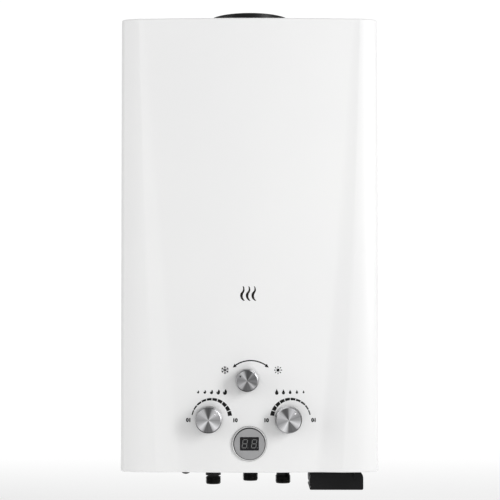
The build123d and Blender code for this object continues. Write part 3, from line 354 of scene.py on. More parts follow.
# one wave's outline in millimetres about its middle: pointed ends joined by two bends each way
wave = ([(0.1, 9.4)] + arc_through((1.4, 9.5), (2.75, 5.0), (1.0, 0.2), 10)
        + arc_through((1.0, 0.2), (0.3, -4.2), (3.2, -9.2), 10) + [(3.2, -9.2)]
        + arc_through((1.9, -9.6), (-3.05, -3.0), (-2.05, 1.2), 10)
        + arc_through((-2.05, 1.2), (0.7, 5.4), (0.1, 9.4), 10))


def bar_along_y(name, outline, x, z, front, back, material):
    """A solid bar of any outline in x and z, from a front to a back distance."""
    ends = []
    for y in (front, back):
        ends += [(x + px, y, z + pz) for px, pz in outline]
    count = len(outline)
    faces = [tuple(range(count)), tuple(reversed(range(count, 2 * count)))]
    for k in range(count):
        faces.append((k, count + k, count + (k + 1) % count, (k + 1) % count))
    piece = mesh_piece(name, ends, faces, material)
    shell = bmesh.new()
    shell.from_mesh(piece.data)
    bmesh.ops.recalc_face_normals(shell, faces=shell.faces)
    shell.to_mesh(piece.data)
    shell.free()
    return piece


def ring_outline(radius, count=64):
    """Points round a circle about the origin."""
    return [(radius * math.cos(2 * math.pi * k / count), radius * math.sin(2 * math.pi * k / count))
            for k in range(count)]


def cut_away(piece, tools):
    """Cut bars out of a piece, and keep the result as its own mesh."""
    for tool in tools:
        cut = piece.modifiers.new("cut", "BOOLEAN")
        cut.object = tool
        cut.solver = "EXACT"
    bpy.context.view_layer.update()
    piece_mesh = bpy.data.meshes.new_from_object(piece.evaluated_get(bpy.context.evaluated_depsgraph_get()))
    piece.modifiers.clear()
    piece.data = piece_mesh
    piece.data.shade_smooth()
    piece.data.set_sharp_from_angle(angle=math.radians(35))
    for tool in tools:
        bpy.data.objects.remove(tool)


openings = [([(px / 1000, pz / 1000) for px, pz in wave], sight_x + (k - 1) * sight_pitch, sight_z)
            for k in range(3)]
openings += [(ring_outline(spindle_hole), x, z)
             for x, z in ((gas_x, control_z), (water_x, control_z), (season_x, season_z))]
openings.append((ring_outline(display_hole), 0, display_z))
cut_away(cover, [bar_along_y("cutter", outline, x, z, cut_front, cut_back, white_enamel)
                 for outline, x, z in openings])
weights = cover.modifiers.new("even normals", "WEIGHTED_NORMAL")
weights.keep_sharp = True
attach(cover, "casing")
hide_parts("front_cover")


# ---- printing on the cover -----------------------------------
# Scales and signs screen-printed in black on the enamel: a stepped scale round each large
# knob, a two-headed arrow over the season knob, and plain figures and signs for the settings.

ink = finish("black ink", (0.006, 0.006, 0.006), (0.010, 0.010, 0.010), 0.50, grain=(1500, 2),
             bump=0.08, rough_spread=0.05, shine=0.2)
ink_lift = 0.00006


def printed(name, shapes):
    """Flat ink shapes, given as outlines in x and z, laid on the pressed panel."""
    spots, faces = [], []
    for outline in shapes:
        start = len(spots)
        spots += [(x, front_depth(x, z) - ink_lift, z) for x, z in outline]
        faces.append(tuple(range(start, start + len(outline))))
    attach(mesh_piece(name, spots, faces, ink), "casing")


def band(x, z, inner, outer, start, end, steps=6):
    """A piece of a ring between two bearings in degrees; each edge runs from radius to radius."""
    shape = []
    for edge, order in ((outer, range(steps + 1)), (inner, range(steps, -1, -1))):
        for k in order:
            turn = math.radians(start + (end - start) * k / steps)
            radius = edge[0] + (edge[1] - edge[0]) * k / steps
            shape.append((x + radius * math.sin(turn), z + radius * math.cos(turn)))
    return shape


scale_radius, scale_start, block_pitch = 0.0268, -81.5, 16.45
block_start, block_end = 0.9, 15.2
thinnest, growth, growth_power = 0.0013, 0.0042, 1.05


def scale_bands(x, z, side):
    """Ten blocks round a knob that thicken towards the full setting."""
    shapes = []
    for k in range(10):
        start = scale_start + k * block_pitch
        thin, thick = (thinnest + growth * share ** growth_power for share in (k / 10, (k + 1) / 10))
        block = band(0, 0, (scale_radius - thin, scale_radius - thick), (scale_radius, scale_radius),
                     start + block_start, start + block_end)
        shapes.append([(x + side * px, z + pz) for px, pz in block][::side])
    return shapes


printed("gas_scale", scale_bands(gas_x + 0.0040, control_z + 0.0011, 1))
printed("water_scale", scale_bands(water_x + 0.0027, control_z + 0.0013, -1))

arrow_x, arrow_z, arrow_radius = season_x + 0.0045, season_z - 0.0092, 0.0349
line_half, line_turn, line_parts = 0.0008, 35, 8
head_half, head_start, head_tip = 0.0024, 34.5, 42.4
line_edges = (arrow_radius - line_half,) * 2, (arrow_radius + line_half,) * 2
arrow = []
for k in range(line_parts):
    start, end = (-line_turn + (k + part) * 2 * line_turn / line_parts for part in (0, 1))
    arrow.append(band(arrow_x, arrow_z, *line_edges, start, end, 4))
for side in (-1, 1):
    head = []
    for radius, bearing in ((arrow_radius - head_half, head_start), (arrow_radius, head_tip),
                            (arrow_radius + head_half, head_start)):
        turn = math.radians(side * bearing)
        head.append((arrow_x + radius * math.sin(turn), arrow_z + radius * math.cos(turn)))
    arrow.append(head[::-side])
printed("season_arrow", arrow)


def flame(x, z, height):
    """A flame sign: a leaning teardrop with a notch."""
    right = [(0.10, 1.0), (0.30, 0.72), (0.36, 0.50), (0.30, 0.22), (0.14, 0.04), (0.0, 0.0)]
    left = [(-0.16, 0.05), (-0.31, 0.22), (-0.34, 0.42), (-0.26, 0.60), (-0.14, 0.44), (-0.06, 0.62),
            (0.02, 0.84)]
    return [(x + px * height, z + (pz - 0.5) * height) for px, pz in (right + left)[::-1]]


def drop(x, z, height):
    """A water drop sign: a half circle below, drawn to a point above."""
    shape = []
    for k in range(18):
        turn = 2 * math.pi * k / 18
        below = math.cos(turn) < 0
        narrow = 1.0 if below else max(0.0, 1 - math.cos(turn) ** 1.4)
        shape.append((x + 0.30 * height * math.sin(turn) * narrow,
                      z + height * (-0.2 + (0.30 if below else 0.70) * math.cos(turn))))
    return shape[::-1]


sign_pitch, least_sign, sign_growth = 0.0088, 0.0042, 0.0009
flames_x, flames_z = gas_x + 0.0036, control_z + 0.0357
drops_x, drops_z = water_x + 0.0024, control_z + 0.0359
printed("flame_signs", [flame(flames_x + (k - 2) * sign_pitch, flames_z, least_sign + sign_growth * k)
                        for k in range(5)])
printed("drop_signs", [drop(drops_x + (k - 2) * sign_pitch, drops_z, least_sign + sign_growth * (4 - k))
                       for k in range(5)])


def turned_outline(shape, degrees, x, z):
    """An outline turned anticlockwise about its origin, then set at a place."""
    cos, sin = math.cos(math.radians(degrees)), math.sin(math.radians(degrees))
    return [(x + px * cos - pz * sin, z + px * sin + pz * cos) for px, pz in shape]


snow_x, snow_z = season_x - 0.0292, season_z + 0.0132
arm_half, arm_length, twig_reach = 0.00052, 0.0052, 0.0017
arm = [(-arm_half, 0), (arm_half, 0), (arm_half, arm_length), (-arm_half, arm_length)]
twigs = [[(0, 0.0025), (side * twig_reach, 0.0038), (side * twig_reach, 0.0048), (0, 0.0035)][::side]
         for side in (-1, 1)]
printed("cold_season_sign", [turned_outline(shape, 60 * k, snow_x, snow_z)[::-1]
                             for k in range(6) for shape in [arm] + twigs])
sun_x, sun_z = season_x + 0.0403, season_z + 0.0132
sun_radius, ray_half, ray_start, ray_end = 0.0021, 0.00055, 0.0031, 0.0053
sun = [turned_outline(ring_outline(sun_radius, 20), 0, sun_x, sun_z)[::-1]]
ray = [(-ray_half, ray_start), (-ray_half, ray_end), (ray_half, ray_end), (ray_half, ray_start)]
sun += [turned_outline(ray, 45 * k, sun_x, sun_z) for k in range(8)]
printed("warm_season_sign", sun)

figure_height, figure_z = 0.0047, control_z - 0.0010
type_height, boldness = 0.72, 0.095


def figure(name, text, x):
    """A plain number set in type and laid on the panel as ink."""
    curve = bpy.data.curves.new(name, "FONT")
    curve.body = text
    curve.size = figure_height / type_height
    curve.align_x = "CENTER"
    curve.offset = figure_height * boldness
    curve.resolution_u = 4
    typed = bpy.data.objects.new(name, curve)
    bpy.context.scene.collection.objects.link(typed)
    bpy.context.view_layer.update()
    mesh = bpy.data.meshes.new_from_object(typed.evaluated_get(bpy.context.evaluated_depsgraph_get()))
    bpy.data.objects.remove(typed)
    for vertex in mesh.vertices:
        px, pz = x + vertex.co.x, figure_z + vertex.co.y - figure_height / 2
        vertex.co = (px, front_depth(px, pz) - ink_lift, pz)
    mesh.materials.clear()
    mesh.materials.append(ink)
    piece = bpy.data.objects.new(name, mesh)
    bpy.context.scene.collection.objects.link(piece)
    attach(piece, "casing")


figure("gas_low_figure", "01", gas_x - 0.0265)
figure("gas_high_figure", "10", gas_x + 0.0345)
figure("water_high_figure", "10", water_x - 0.0290)
figure("water_low_figure", "01", water_x + 0.0335)


# ---- turned knobs --------------------------------------------
# Three aluminium knobs, each a cup with a spun face on a black moulded base. The face is a very
# shallow cone whose turning marks give it a real streaked reflection, and over that its sectors of
# light and dark are painted reflection in its colour. Each is pushed on a spindle.

def wrapped(tree, source, add):
    """A bearing as a share of a turn, with the knob's own turn added to it."""
    share = tree.nodes.new("ShaderNodeMath")
    share.operation = "MULTIPLY_ADD"
    share.inputs[1].default_value = 1 / (2 * math.pi)
    share.inputs[2].default_value = 0.5 + add
    fold = tree.nodes.new("ShaderNodeMath")
    fold.operation = "WRAP"
    fold.inputs[1].default_value = 1
    fold.inputs[2].default_value = 0
    tree.links.new(source, share.inputs[0])
    tree.links.new(share.outputs["Value"], fold.inputs[0])
    return fold.outputs["Value"]


def greys(tree, source, stops):
    """A ramp of greys, given as places and brightnesses."""
    ramp = tree.nodes.new("ShaderNodeValToRGB")
    ramp.color_ramp.elements.remove(ramp.color_ramp.elements[1])
    ramp.color_ramp.elements[0].position = stops[0][0]
    ramp.color_ramp.elements[0].color = (stops[0][1], stops[0][1], stops[0][1] * 1.01, 1)
    for place, grey in stops[1:]:
        stop = ramp.color_ramp.elements.new(place)
        stop.color = (grey, grey, grey * 1.01, 1)
    tree.links.new(source, ramp.inputs["Fac"])
    return ramp.outputs["Color"]


def noise_along(tree, source, scale, detail):
    """A noise texture that varies along one measure only."""
    noise = tree.nodes.new("ShaderNodeTexNoise")
    noise.noise_dimensions = "1D"
    noise.inputs["Scale"].default_value = scale
    noise.inputs["Detail"].default_value = detail
    tree.links.new(source, noise.inputs["W"])
    return noise.outputs["Fac"]


# painted highlight and painted shade round a knob's rim, by bearing: a bright crescent towards the upper
# right, dark at the bottom
painted_rim_light = [(0.0, 0.04), (0.11, 0.05), (0.19, 0.34), (0.38, 0.36), (0.45, 0.20), (0.53, 0.16),
             (0.57, 0.90), (0.69, 1.0), (0.75, 0.34), (0.87, 0.10), (1.0, 0.04)]


def spun_aluminium(name, face_radius, turned, painted_wedges, painted_rim_turn):
    """Aluminium faced on a lathe: fine rings, wedge-shaped sectors of light and dark that are painted
    reflection, and a bright rim that is painted highlight, dark at the bottom as painted shade.
    """
    material = bpy.data.materials.new(name)
    material.use_nodes = True
    tree = material.node_tree
    join = tree.links.new
    shader = tree.nodes["Principled BSDF"]
    shader.inputs["Metallic"].default_value = 1.0
    shader.inputs["Anisotropic"].default_value = 0.7
    tangent = tree.nodes.new("ShaderNodeTangent")
    tangent.direction_type = "RADIAL"
    tangent.axis = "Y"
    join(tangent.outputs["Tangent"], shader.inputs["Tangent"])
    place = tree.nodes.new("ShaderNodeTexCoord")
    split = tree.nodes.new("ShaderNodeSeparateXYZ")
    flat = tree.nodes.new("ShaderNodeCombineXYZ")
    radius = tree.nodes.new("ShaderNodeVectorMath")
    radius.operation = "LENGTH"
    join(place.outputs["Object"], split.inputs["Vector"])
    join(split.outputs["X"], flat.inputs["X"])
    join(split.outputs["Z"], flat.inputs["Y"])
    join(flat.outputs["Vector"], radius.inputs[0])
    bearing = tree.nodes.new("ShaderNodeMath")
    bearing.operation = "ARCTAN2"
    join(split.outputs["X"], bearing.inputs[0])
    join(split.outputs["Z"], bearing.inputs[1])
    around = wrapped(tree, bearing.outputs["Value"], turned)
    outside = tree.nodes.new("ShaderNodeMapRange")
    outside.inputs["From Min"].default_value = face_radius - 0.0002
    outside.inputs["From Max"].default_value = face_radius + 0.0001
    join(radius.outputs["Value"], outside.inputs["Value"])
    edge = tree.nodes.new("ShaderNodeMix")
    edge.data_type = "RGBA"
    join(outside.outputs["Result"], edge.inputs["Factor"])
    # painted reflection on the face and painted highlight and shade on the rim, mixed by radius
    join(greys(tree, around, painted_wedges), edge.inputs[6])
    join(greys(tree, wrapped(tree, bearing.outputs["Value"], painted_rim_turn), painted_rim_light), edge.inputs[7])
    grooves = noise_along(tree, radius.outputs["Value"], 5200, 5)
    both = tree.nodes.new("ShaderNodeMath")
    both.operation = "ADD"
    join(grooves, both.inputs[0])
    join(noise_along(tree, around, 70, 6), both.inputs[1])
    worn = tree.nodes.new("ShaderNodeMix")
    worn.data_type = "RGBA"
    worn.blend_type = "MULTIPLY"
    worn.inputs["Factor"].default_value = 1.0
    join(edge.outputs[2], worn.inputs[6])
    join(greys(tree, both.outputs["Value"], [(0.0, 0.55), (0.75, 0.80), (1.0, 1.0)]), worn.inputs[7])
    join(worn.outputs[2], shader.inputs["Base Color"])
    grained(tree, grooves, 0.26, 0.40, 0.12, 0.0001)
    return material


# greys painted into the spun faces as reflection: sectors of light and dark round each face
four_painted_wedges = [(0.0, 0.13), (0.055, 0.16), (0.085, 0.60), (0.13, 0.92), (0.19, 0.60), (0.25, 0.42),
               (0.31, 0.55), (0.38, 0.82), (0.43, 0.62), (0.46, 0.17), (0.50, 0.12), (0.54, 0.17),
               (0.57, 0.62), (0.63, 0.95), (0.69, 0.58), (0.75, 0.40), (0.81, 0.55), (0.87, 0.88),
               (0.915, 0.60), (0.945, 0.16)]
split_painted_wedges = [(0.0, 0.13), (0.065, 0.15), (0.10, 0.50), (0.15, 0.62), (0.21, 0.42), (0.27, 0.34),
                (0.34, 0.52), (0.40, 0.86), (0.44, 0.60), (0.47, 0.20), (0.51, 0.12), (0.575, 0.15),
                (0.61, 0.52), (0.64, 0.30), (0.70, 0.22), (0.76, 0.30), (0.82, 0.20), (0.87, 0.60),
                (0.90, 0.36), (0.94, 0.15)]
black_plastic = finish("black moulded plastic", (0.005, 0.005, 0.0055), (0.009, 0.009, 0.0095), 0.50,
                       grain=(2500, 3), bump=0.12, rough_spread=0.08, shine=0.16)

def turned_piece(name, profile, centre, material, along="Y", steps=96, sharp=30):
    """A turned form: profile gives radius and distance along the axis from the centre."""
    spots = []
    for radius, way in profile:
        for across, up in ring_outline(radius, steps):
            spots.append((across, way, up) if along == "Y" else (across, up, way))
    piece = mesh_piece(name, spots, grid_faces(len(profile), steps, closed=True), material, sharp)
    clean = piece.modifiers.new("weld", "WELD")
    clean.merge_threshold = 0.000001
    piece.location = centre
    return piece


knob_height = 0.019
main_diameter, season_diameter = 0.0344, 0.0292
spindle_radius, spindle_length = 0.004, 0.028
base_inset, base_step, base_depth = 0.0012, 0.0022, 0.0028
cup_lap, cup_back, side_start, side_end = 0.0006, 0.0021, 0.0024, 0.0165
side_taper, round_radius, cone_rise = 0.0008, 0.0014, 0.0010
face_step = 0.0002
face_back = side_end + round_radius - face_step


def knob_back(body):
    """The plane of a knob's back edge, a knob's height behind the front of its cap."""
    return round(corners(body + "_cap")[0][1] + knob_height, 5)


def face_edge(radius):
    """Radius at which a knob's shallow cone starts, inside its bright rim."""
    return radius - 0.0022


def knob(body, x, z, diameter, turned, painted_wedges, painted_rim_turn):
    """One knob: its black base with the spindle, and its aluminium cup."""
    radius = diameter / 2
    centre = (x, knob_back(body), z)
    metal = spun_aluminium(body + " aluminium", radius - 0.0013, turned, painted_wedges, painted_rim_turn)
    base = turned_piece(body + "_base", [
        (0, spindle_length), (spindle_radius, spindle_length), (spindle_radius, 0),
        (radius - 0.0004, 0), (radius - 0.0002, -0.0003), (radius - 0.0002, -0.0020),
        (radius - base_inset, -base_step), (radius - base_inset, -base_depth), (0, -base_depth),
    ], centre, black_plastic, steps=72)
    skirt = radius + cup_lap
    cup = [(radius - base_inset, -cup_back), (skirt - 0.0002, -cup_back), (skirt, -side_start)]
    cup += [(skirt - side_taper * share, -side_start - (side_end - side_start) * share)
            for share in spaced(0, 1, 6)]
    cup += [(skirt - side_taper - round_radius * (1 - math.cos(turn)),
             -side_end - round_radius * math.sin(turn)) for turn in spaced(0, math.pi / 2, 6)]
    cup += [(face_edge(radius) + 0.0002, -face_back - face_step), (face_edge(radius), -face_back)]
    cup += [(face_edge(radius) * (1 - share), -face_back - cone_rise * share) for share in spaced(0, 1, 14)]
    shell = turned_piece(body + "_cup", cup, centre, metal, steps=128)
    for piece in (base, shell):
        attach(piece, body)
    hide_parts(body)
    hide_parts(body + "_cap")


knob("gas_knob", gas_x, control_z, main_diameter, 0.0, four_painted_wedges, -0.03)
knob("water_knob", water_x, control_z, main_diameter, 0.055, four_painted_wedges, 0.23)
knob("season_knob", season_x, season_z, season_diameter, 0.0, split_painted_wedges, 0.0)


def on_face(body, x, z, diameter, reach, bearing):
    """A point on a knob's spun face, a reach from its middle on a bearing from the top."""
    turn = math.radians(bearing)
    rise = cone_rise * (1 - reach / face_edge(diameter / 2))
    return Vector((x + reach * math.sin(turn), knob_back(body) - face_back - rise - 0.00005,
                   z + reach * math.cos(turn)))


# the setting marks: a punched dimple on each large knob, and a printed triangle on the season knob
dimple_metal = finish("bright dimple", (0.72, 0.72, 0.72), (0.8, 0.8, 0.8), 0.2, metal=1.0, bump=0.02)
dimple_reach = 0.0126
for body, x, bearing in (("gas_knob", gas_x, 51.5), ("water_knob", water_x, 46)):
    dimple = turned_piece(body + "_mark", [
        (0.0012, 0.00003), (0.0012, -0.00012), (0.0010, -0.00018), (0.0007, 0.0), (0.0, 0.00004),
    ], on_face(body, x, control_z, main_diameter, dimple_reach, bearing), dimple_metal, steps=32)
    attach(dimple, body)
mark_half, mark_lift = 0.0015, 0.0001
mark = mesh_piece("season_knob_mark", [
    (-mark_half, -mark_lift, 0.0012), (mark_half, -mark_lift, 0.0012), (0.0, -mark_lift, -0.0015),
], [(0, 1, 2)], ink)
mark.location = on_face("season_knob", season_x, season_z, season_diameter, 0.0104, -58)
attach(mark, "season_knob")


# ---- round display -------------------------------------------
# A moulded trim ring round a grey face plate, with a dark window over two seven-bar figures.
# The figures are off, so their bars only show as a dull grey.

trim_plastic = finish("pale trim plastic", (0.54, 0.54, 0.54), (0.60, 0.60, 0.60), 0.28, coat=0.3,
                      bump=0.03)
plate_grey = finish("grey face plate", (0.30, 0.30, 0.305), (0.33, 0.33, 0.335), 0.45, grain=(3000, 2),
                    patch=(60, 4), bump=0.10)
window_black = finish("dark window", (0.004, 0.004, 0.005), (0.007, 0.007, 0.008), 0.16,
                      bump=0.01, rough_spread=0.02, shine=0.22)
bar_grey = finish("unlit bars", (0.13, 0.13, 0.13), (0.16, 0.16, 0.16), 0.35, bump=0.02)
face_y = corners("display_bezel")[1][1]
display_centre = (0, face_y, display_z)
ring_inner, ring_outer, ring_side = 0.0210, 0.0228, 0.0012
ring_round, ring_crown = (ring_outer - ring_inner) / 2, 0.0013

# a black ring that is painted shade: the dark gap inside the trim ring and the shadow of its lip, a thin
# dark line thicker towards the upper right
lip_shadow_ring = turned_piece("display_lip_shadow_ring", [
    (0.0211, -0.0010), (0.0211, -0.0017), (0.0208, -0.0019), (0.0202, -0.0018), (0.0201, -0.0016),
], display_centre, black_plastic, steps=128)
for vertex in lip_shadow_ring.data.vertices:
    if math.hypot(vertex.co.x, vertex.co.z) < 0.0204:
        vertex.co += Vector((0.0002, 0, -0.0005))
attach(lip_shadow_ring, "casing")
# a thin black ring round the foot of the trim ring, a painted contact shadow along its outer edge
foot_shadow_ring = turned_piece("display_foot_shadow_ring", [
    (0.0226, 0.0004), (0.0226, -0.0001), (0.0230, -0.0001), (0.0231, 0.0004),
], display_centre, black_plastic, steps=128)
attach(foot_shadow_ring, "casing")
ring = [(ring_inner, 0.0), (ring_outer, 0.0), (ring_outer, -ring_side)]
ring += [(ring_inner + ring_round + ring_round * math.cos(turn), -ring_side - ring_crown * math.sin(turn))
         for turn in spaced(0, math.pi, 8)]
ring += [(ring_inner, -0.0010), (ring_inner, 0.0)]
bezel = turned_piece("display_ring", ring, display_centre, trim_plastic, steps=128)
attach(bezel, "casing")
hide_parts("display_bezel")


def refinish(name, material):
    """A CAD piece shown as it is, in its own finish."""
    node = nodes[name]
    node.data.materials.clear()
    node.data.materials.append(material)
    return node


refinish("display_disc", plate_grey)
refinish("display_window", window_black)

bar_half, bar_end, bar_front = 0.00050, 0.00025, 0.00146
half_x, half_z = 0.0029, 0.0053
slant = math.tan(math.radians(9))
point_x, point_radius = 0.0042, 0.0005
bars = []
for middle_x in (-0.0060, 0.0062):
    for across, up, upright in ((0, half_z, False), (0, 0, False), (0, -half_z, False),
                                (-half_x, half_z / 2, True), (half_x, half_z / 2, True),
                                (-half_x, -half_z / 2, True), (half_x, -half_z / 2, True)):
        reach = (half_z / 2 if upright else half_x) - bar_end
        shape = [(-reach, 0), (-reach + bar_half, bar_half), (reach - bar_half, bar_half), (reach, 0),
                 (reach - bar_half, -bar_half), (-reach + bar_half, -bar_half)]
        if upright:
            shape = [(pz, px) for px, pz in shape][::-1]
        bars.append([(middle_x + across + px + (up + pz) * slant, up + pz) for px, pz in shape])
    bars.append([(middle_x + point_x + px, -half_z + pz) for px, pz in ring_outline(point_radius, 12)])
spots, faces = [], []
for bar in bars:
    faces.append(tuple(range(len(spots), len(spots) + len(bar)))[::-1])
    spots += [(px, face_y - bar_front, display_z + pz) for px, pz in bar]
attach(mesh_piece("display_figures", spots, faces, bar_grey), "casing")


# ---- flue collar ---------------------------------------------
# A black-enamelled steel spigot, 110 mm across, with a rolled lip at its mouth. It is spot-welded
# to a square flange that sits on the top plate, and the flue pipe slides over it.

black_enamel = finish("black enamel", (0.006, 0.006, 0.006), (0.011, 0.011, 0.011), 0.42,
                      grain=(700, 3), bump=0.06, shine=0.25)
flue_y = centre_of("flue_collar")[1]
flue_radius = corners("flue_collar")[1][0]
collar_low = corners("flue_flange")[0][2]
lip_drop = 0.0013
collar_high = corners("flue_collar")[1][2] - lip_drop
collar_sheet, bead_z, bead_half, bead_sink = 0.001, 0.300, 0.001, 0.00015
collar_inner, lip_round = flue_radius - collar_sheet, 0.0006
tube = [(collar_inner, collar_low), (flue_radius, collar_low), (flue_radius, bead_z - bead_half),
        (flue_radius - bead_sink, bead_z), (flue_radius, bead_z + bead_half),
        (flue_radius, collar_high - 0.0025)]
tube += [(flue_radius - lip_round + lip_round * math.cos(turn),
          collar_high + lip_round * (math.sin(turn) - 1))
         for turn in spaced(0.0, math.pi, 8, 0)]
tube += [(collar_inner, collar_high - 0.0030), (collar_inner, collar_low)]
spigot = turned_piece("flue_spigot", tube, (0, flue_y, 0), black_enamel, along="Z", steps=160)
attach(spigot, "casing")
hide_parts("flue_collar")

flange_half, flange_corner, flange_mouth = flue_radius + 0.010, 0.006, 0.0545
square = []
for side_x, side_y in ((1, -1), (1, 1), (-1, 1), (-1, -1)):
    first = math.atan2(side_y, side_x) - math.pi / 4
    for turn in spaced(first, first + math.pi / 2, 6, 0):
        square.append((side_x * (flange_half - flange_corner) + flange_corner * math.cos(turn),
                       side_y * (flange_half - flange_corner) + flange_corner * math.sin(turn)))
count = len(square)
mouth = [(flange_mouth * math.cos(math.atan2(y, x)), flange_mouth * math.sin(math.atan2(y, x)))
         for x, y in square]
flange_points = [(x, flue_y + y, z) for z in (collar_low, collar_low + collar_sheet)
                 for outline in (square, mouth) for x, y in outline]
flange_faces = []
for k in range(count):
    n = (k + 1) % count
    flange_faces.append((k, n, count + n, count + k)[::-1])
    flange_faces.append((2 * count + k, 2 * count + n, 3 * count + n, 3 * count + k))
    flange_faces.append((k, n, 2 * count + n, 2 * count + k))
flange = mesh_piece("flue_flange", flange_points, flange_faces, black_enamel)
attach(flange, "casing")
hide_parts("flue_flange")


# ---- pipe ends and drain plug --------------------------------
# Blackened brass pipe ends with a half inch parallel thread, a relief groove over it and a
# hexagon that clamps the base plate. The drain plug is a domed cap.

blackened = finish("blackened brass", (0.006, 0.006, 0.006), (0.016, 0.015, 0.014), 0.40, metal=0.25,
                   grain=(900, 4), patch=(90, 3), bump=0.08, shine=0.2)
thread_pitch, thread_crest, thread_root = 0.001814, 0.0104775, 0.0093
crest_flat, root_flat, run_in, run_out = 0.12, 0.12, 0.0016, 0.0008
bore_radius, bore_depth, mouth_chamfer = 0.0060, 0.0260, 0.0006
shank_top = -0.2905
round_steps, turn_rows = 64, 10


def threaded_end(name, x, y, low, height, groove_radius, groove_height):
    """A pipe end: bore, chamfered screw thread, relief groove and shank."""
    circle = ring_outline(1.0, round_steps)

    def ring(radius, level):
        return [(radius * across, radius * along, level) for across, along in circle]

    spots = []
    for radius, level in ((bore_radius, bore_depth), (bore_radius, mouth_chamfer),
                          (bore_radius + mouth_chamfer, 0.0), (thread_root - 0.0002, 0.0)):
        spots += ring(radius, level)
    rows = int(height / thread_pitch * turn_rows)
    for row in range(rows + 1):
        level = height * row / rows
        fade = min(1.0, level / run_in, (height - level) / run_out + 0.2)
        for k, (across, along) in enumerate(circle):
            phase = (level / thread_pitch - k / round_steps) % 1.0
            tooth = (abs(2 * phase - 1) - root_flat) / (1 - root_flat - crest_flat)
            radius = thread_root + (thread_crest - thread_root) * min(1.0, max(0.0, tooth)) * fade
            spots.append((radius * across, radius * along, level))
    shoulder = height + groove_height
    for radius, level in ((groove_radius, height + 0.0002), (groove_radius, shoulder),
                          (thread_crest - 0.0003, shoulder + 0.0002), (thread_crest, shoulder + 0.0006),
                          (thread_crest, shank_top - low)):
        spots += ring(radius, level)
    piece = mesh_piece(name + "_end", spots,
                       grid_faces(len(spots) // round_steps, round_steps, closed=True), blackened, 40)
    piece.location = (x, y, low)
    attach(piece, "casing")
    return piece


def break_edges(piece, width, sharp=30):
    """A small bevel on the edges that turn by more than an angle."""
    edge = piece.modifiers.new("edge", "BEVEL")
    edge.width = width
    edge.segments = 2
    edge.limit_method = "ANGLE"
    edge.angle_limit = math.radians(sharp)


hexagon_corner, hexagon_low, hexagon_high, tall_hexagon_high = 0.0139, -0.290, -0.2878, -0.2760
hexagon_faces = [(5, 4, 3, 2, 1, 0), (6, 7, 8, 9, 10, 11)]
hexagon_faces += [(k, (k + 1) % 6, 6 + (k + 1) % 6, 6 + k) for k in range(6)]
for name, height, groove_radius, groove_height, high in (
        ("hot_outlet", 0.0098, 0.0076, 0.0018, tall_hexagon_high),
        ("gas_inlet", 0.0115, 0.0080, 0.0020, hexagon_high),
        ("cold_inlet", 0.0110, 0.0089, 0.0030, hexagon_high)):
    x, fitting_y, _ = centre_of(name)
    end = threaded_end(name, x, fitting_y, corners(name)[0][2], height, groove_radius, groove_height)
    hexagon = mesh_piece(name + "_hexagon", [
        (across, along, z) for z in (hexagon_low, high) for across, along in ring_outline(hexagon_corner, 6)
    ], hexagon_faces, blackened)
    hexagon.location = (x, fitting_y, 0)
    break_edges(hexagon, 0.0005)
    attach(hexagon, "casing")
    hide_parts(name)

drain_x, drain_y, _ = centre_of("drain_plug")
plug_radius, dome_height, plug_low = 0.0065, 0.0045, corners("drain_plug")[0][2]
plug_rim_radius, plug_rim_low, plug_rim_high = 0.0095, -0.2900, -0.2800
dome = [(0.0, plug_low)]
dome += [(plug_radius * math.sin(turn), plug_low + dome_height * (1 - math.cos(turn)))
         for turn in spaced(0, math.pi / 2, 8)]
dome += [(plug_radius, plug_rim_low - 0.0005), (plug_rim_radius, plug_rim_low),
         (plug_rim_radius, plug_rim_high), (0.0, plug_rim_high + 0.0005)]
plug = turned_piece("drain_cap", dome, (drain_x, drain_y, 0), blackened, along="Z", steps=48)
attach(plug, "casing")
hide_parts("drain_plug")


# ---- battery box ---------------------------------------------
# A black moulded tray for two large cells, hinged at its right end under the base plate, and
# the fixed holder that it closes against. Grooves in its left end give a finger grip.

def soften_node(name, width, material):
    """A CAD piece shown as it is, with its finish and its edges broken."""
    node = refinish(name, material)
    weld = node.modifiers.new("weld", "WELD")
    weld.merge_threshold = 0.000002
    if width:
        break_edges(node, width)


(_, tray_front, tray_low), (tray_right, tray_back, tray_top) = corners("battery_tray")
tray_wall, tray_left, grip_wall = 0.0016, 0.0816, 0.0022
hinge_inset, pin_radius = 0.008, 0.0028
grip_side = [(0.0822, -0.3270), (0.0812, -0.3267), (0.0807, -0.3260), (0.0808, -0.3250), (0.0820, -0.3239),
             (0.0823, -0.3228), (0.0813, -0.3216), (0.0808, -0.3200), (0.0806, -0.3160), (0.0808, -0.3118),
             (0.0813, -0.3104), (0.0823, -0.3093), (0.0823, -0.3082), (0.0811, -0.3070), (0.0806, -0.3060),
             (0.0807, -0.3048), (0.0815, -0.3038), (0.0816, -0.3012), (0.0822, -0.3005)]
top_corner, foot_corner = 0.011, 0.002
tray_outline = list(grip_side)
for turn in spaced(0.0, math.pi / 2, 14, 0):
    tray_outline.append((tray_right - top_corner * (1 - math.sin(turn)),
                         tray_top - top_corner * (1 - math.cos(turn))))
for turn in spaced(0.0, math.pi / 2, 5, 0):
    tray_outline.append((tray_right - foot_corner * (1 - math.cos(turn)),
                         tray_low + foot_corner * (1 - math.sin(turn))))
tray = bar_along_y("battery_drawer", tray_outline, 0, 0, tray_front, tray_back, black_plastic)
inner_left, inner_right, inner_low = tray_left + grip_wall, tray_right - tray_wall, tray_low + tray_wall
inside = [(inner_left, inner_low), (inner_left, tray_top + 0.01), (inner_right, tray_top + 0.01),
          (inner_right, inner_low)]
cut_away(tray, [
    bar_along_y("inside", inside, 0, 0, tray_front + tray_wall, tray_back - tray_wall, black_plastic),
    bar_along_y("pin hole", ring_outline(pin_radius, 24), tray_right - hinge_inset, tray_top - hinge_inset,
                tray_front - 0.01, tray_back + 0.01, black_plastic)])
break_edges(tray, 0.0004, 50)
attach(tray, "tray")
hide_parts("battery_tray")
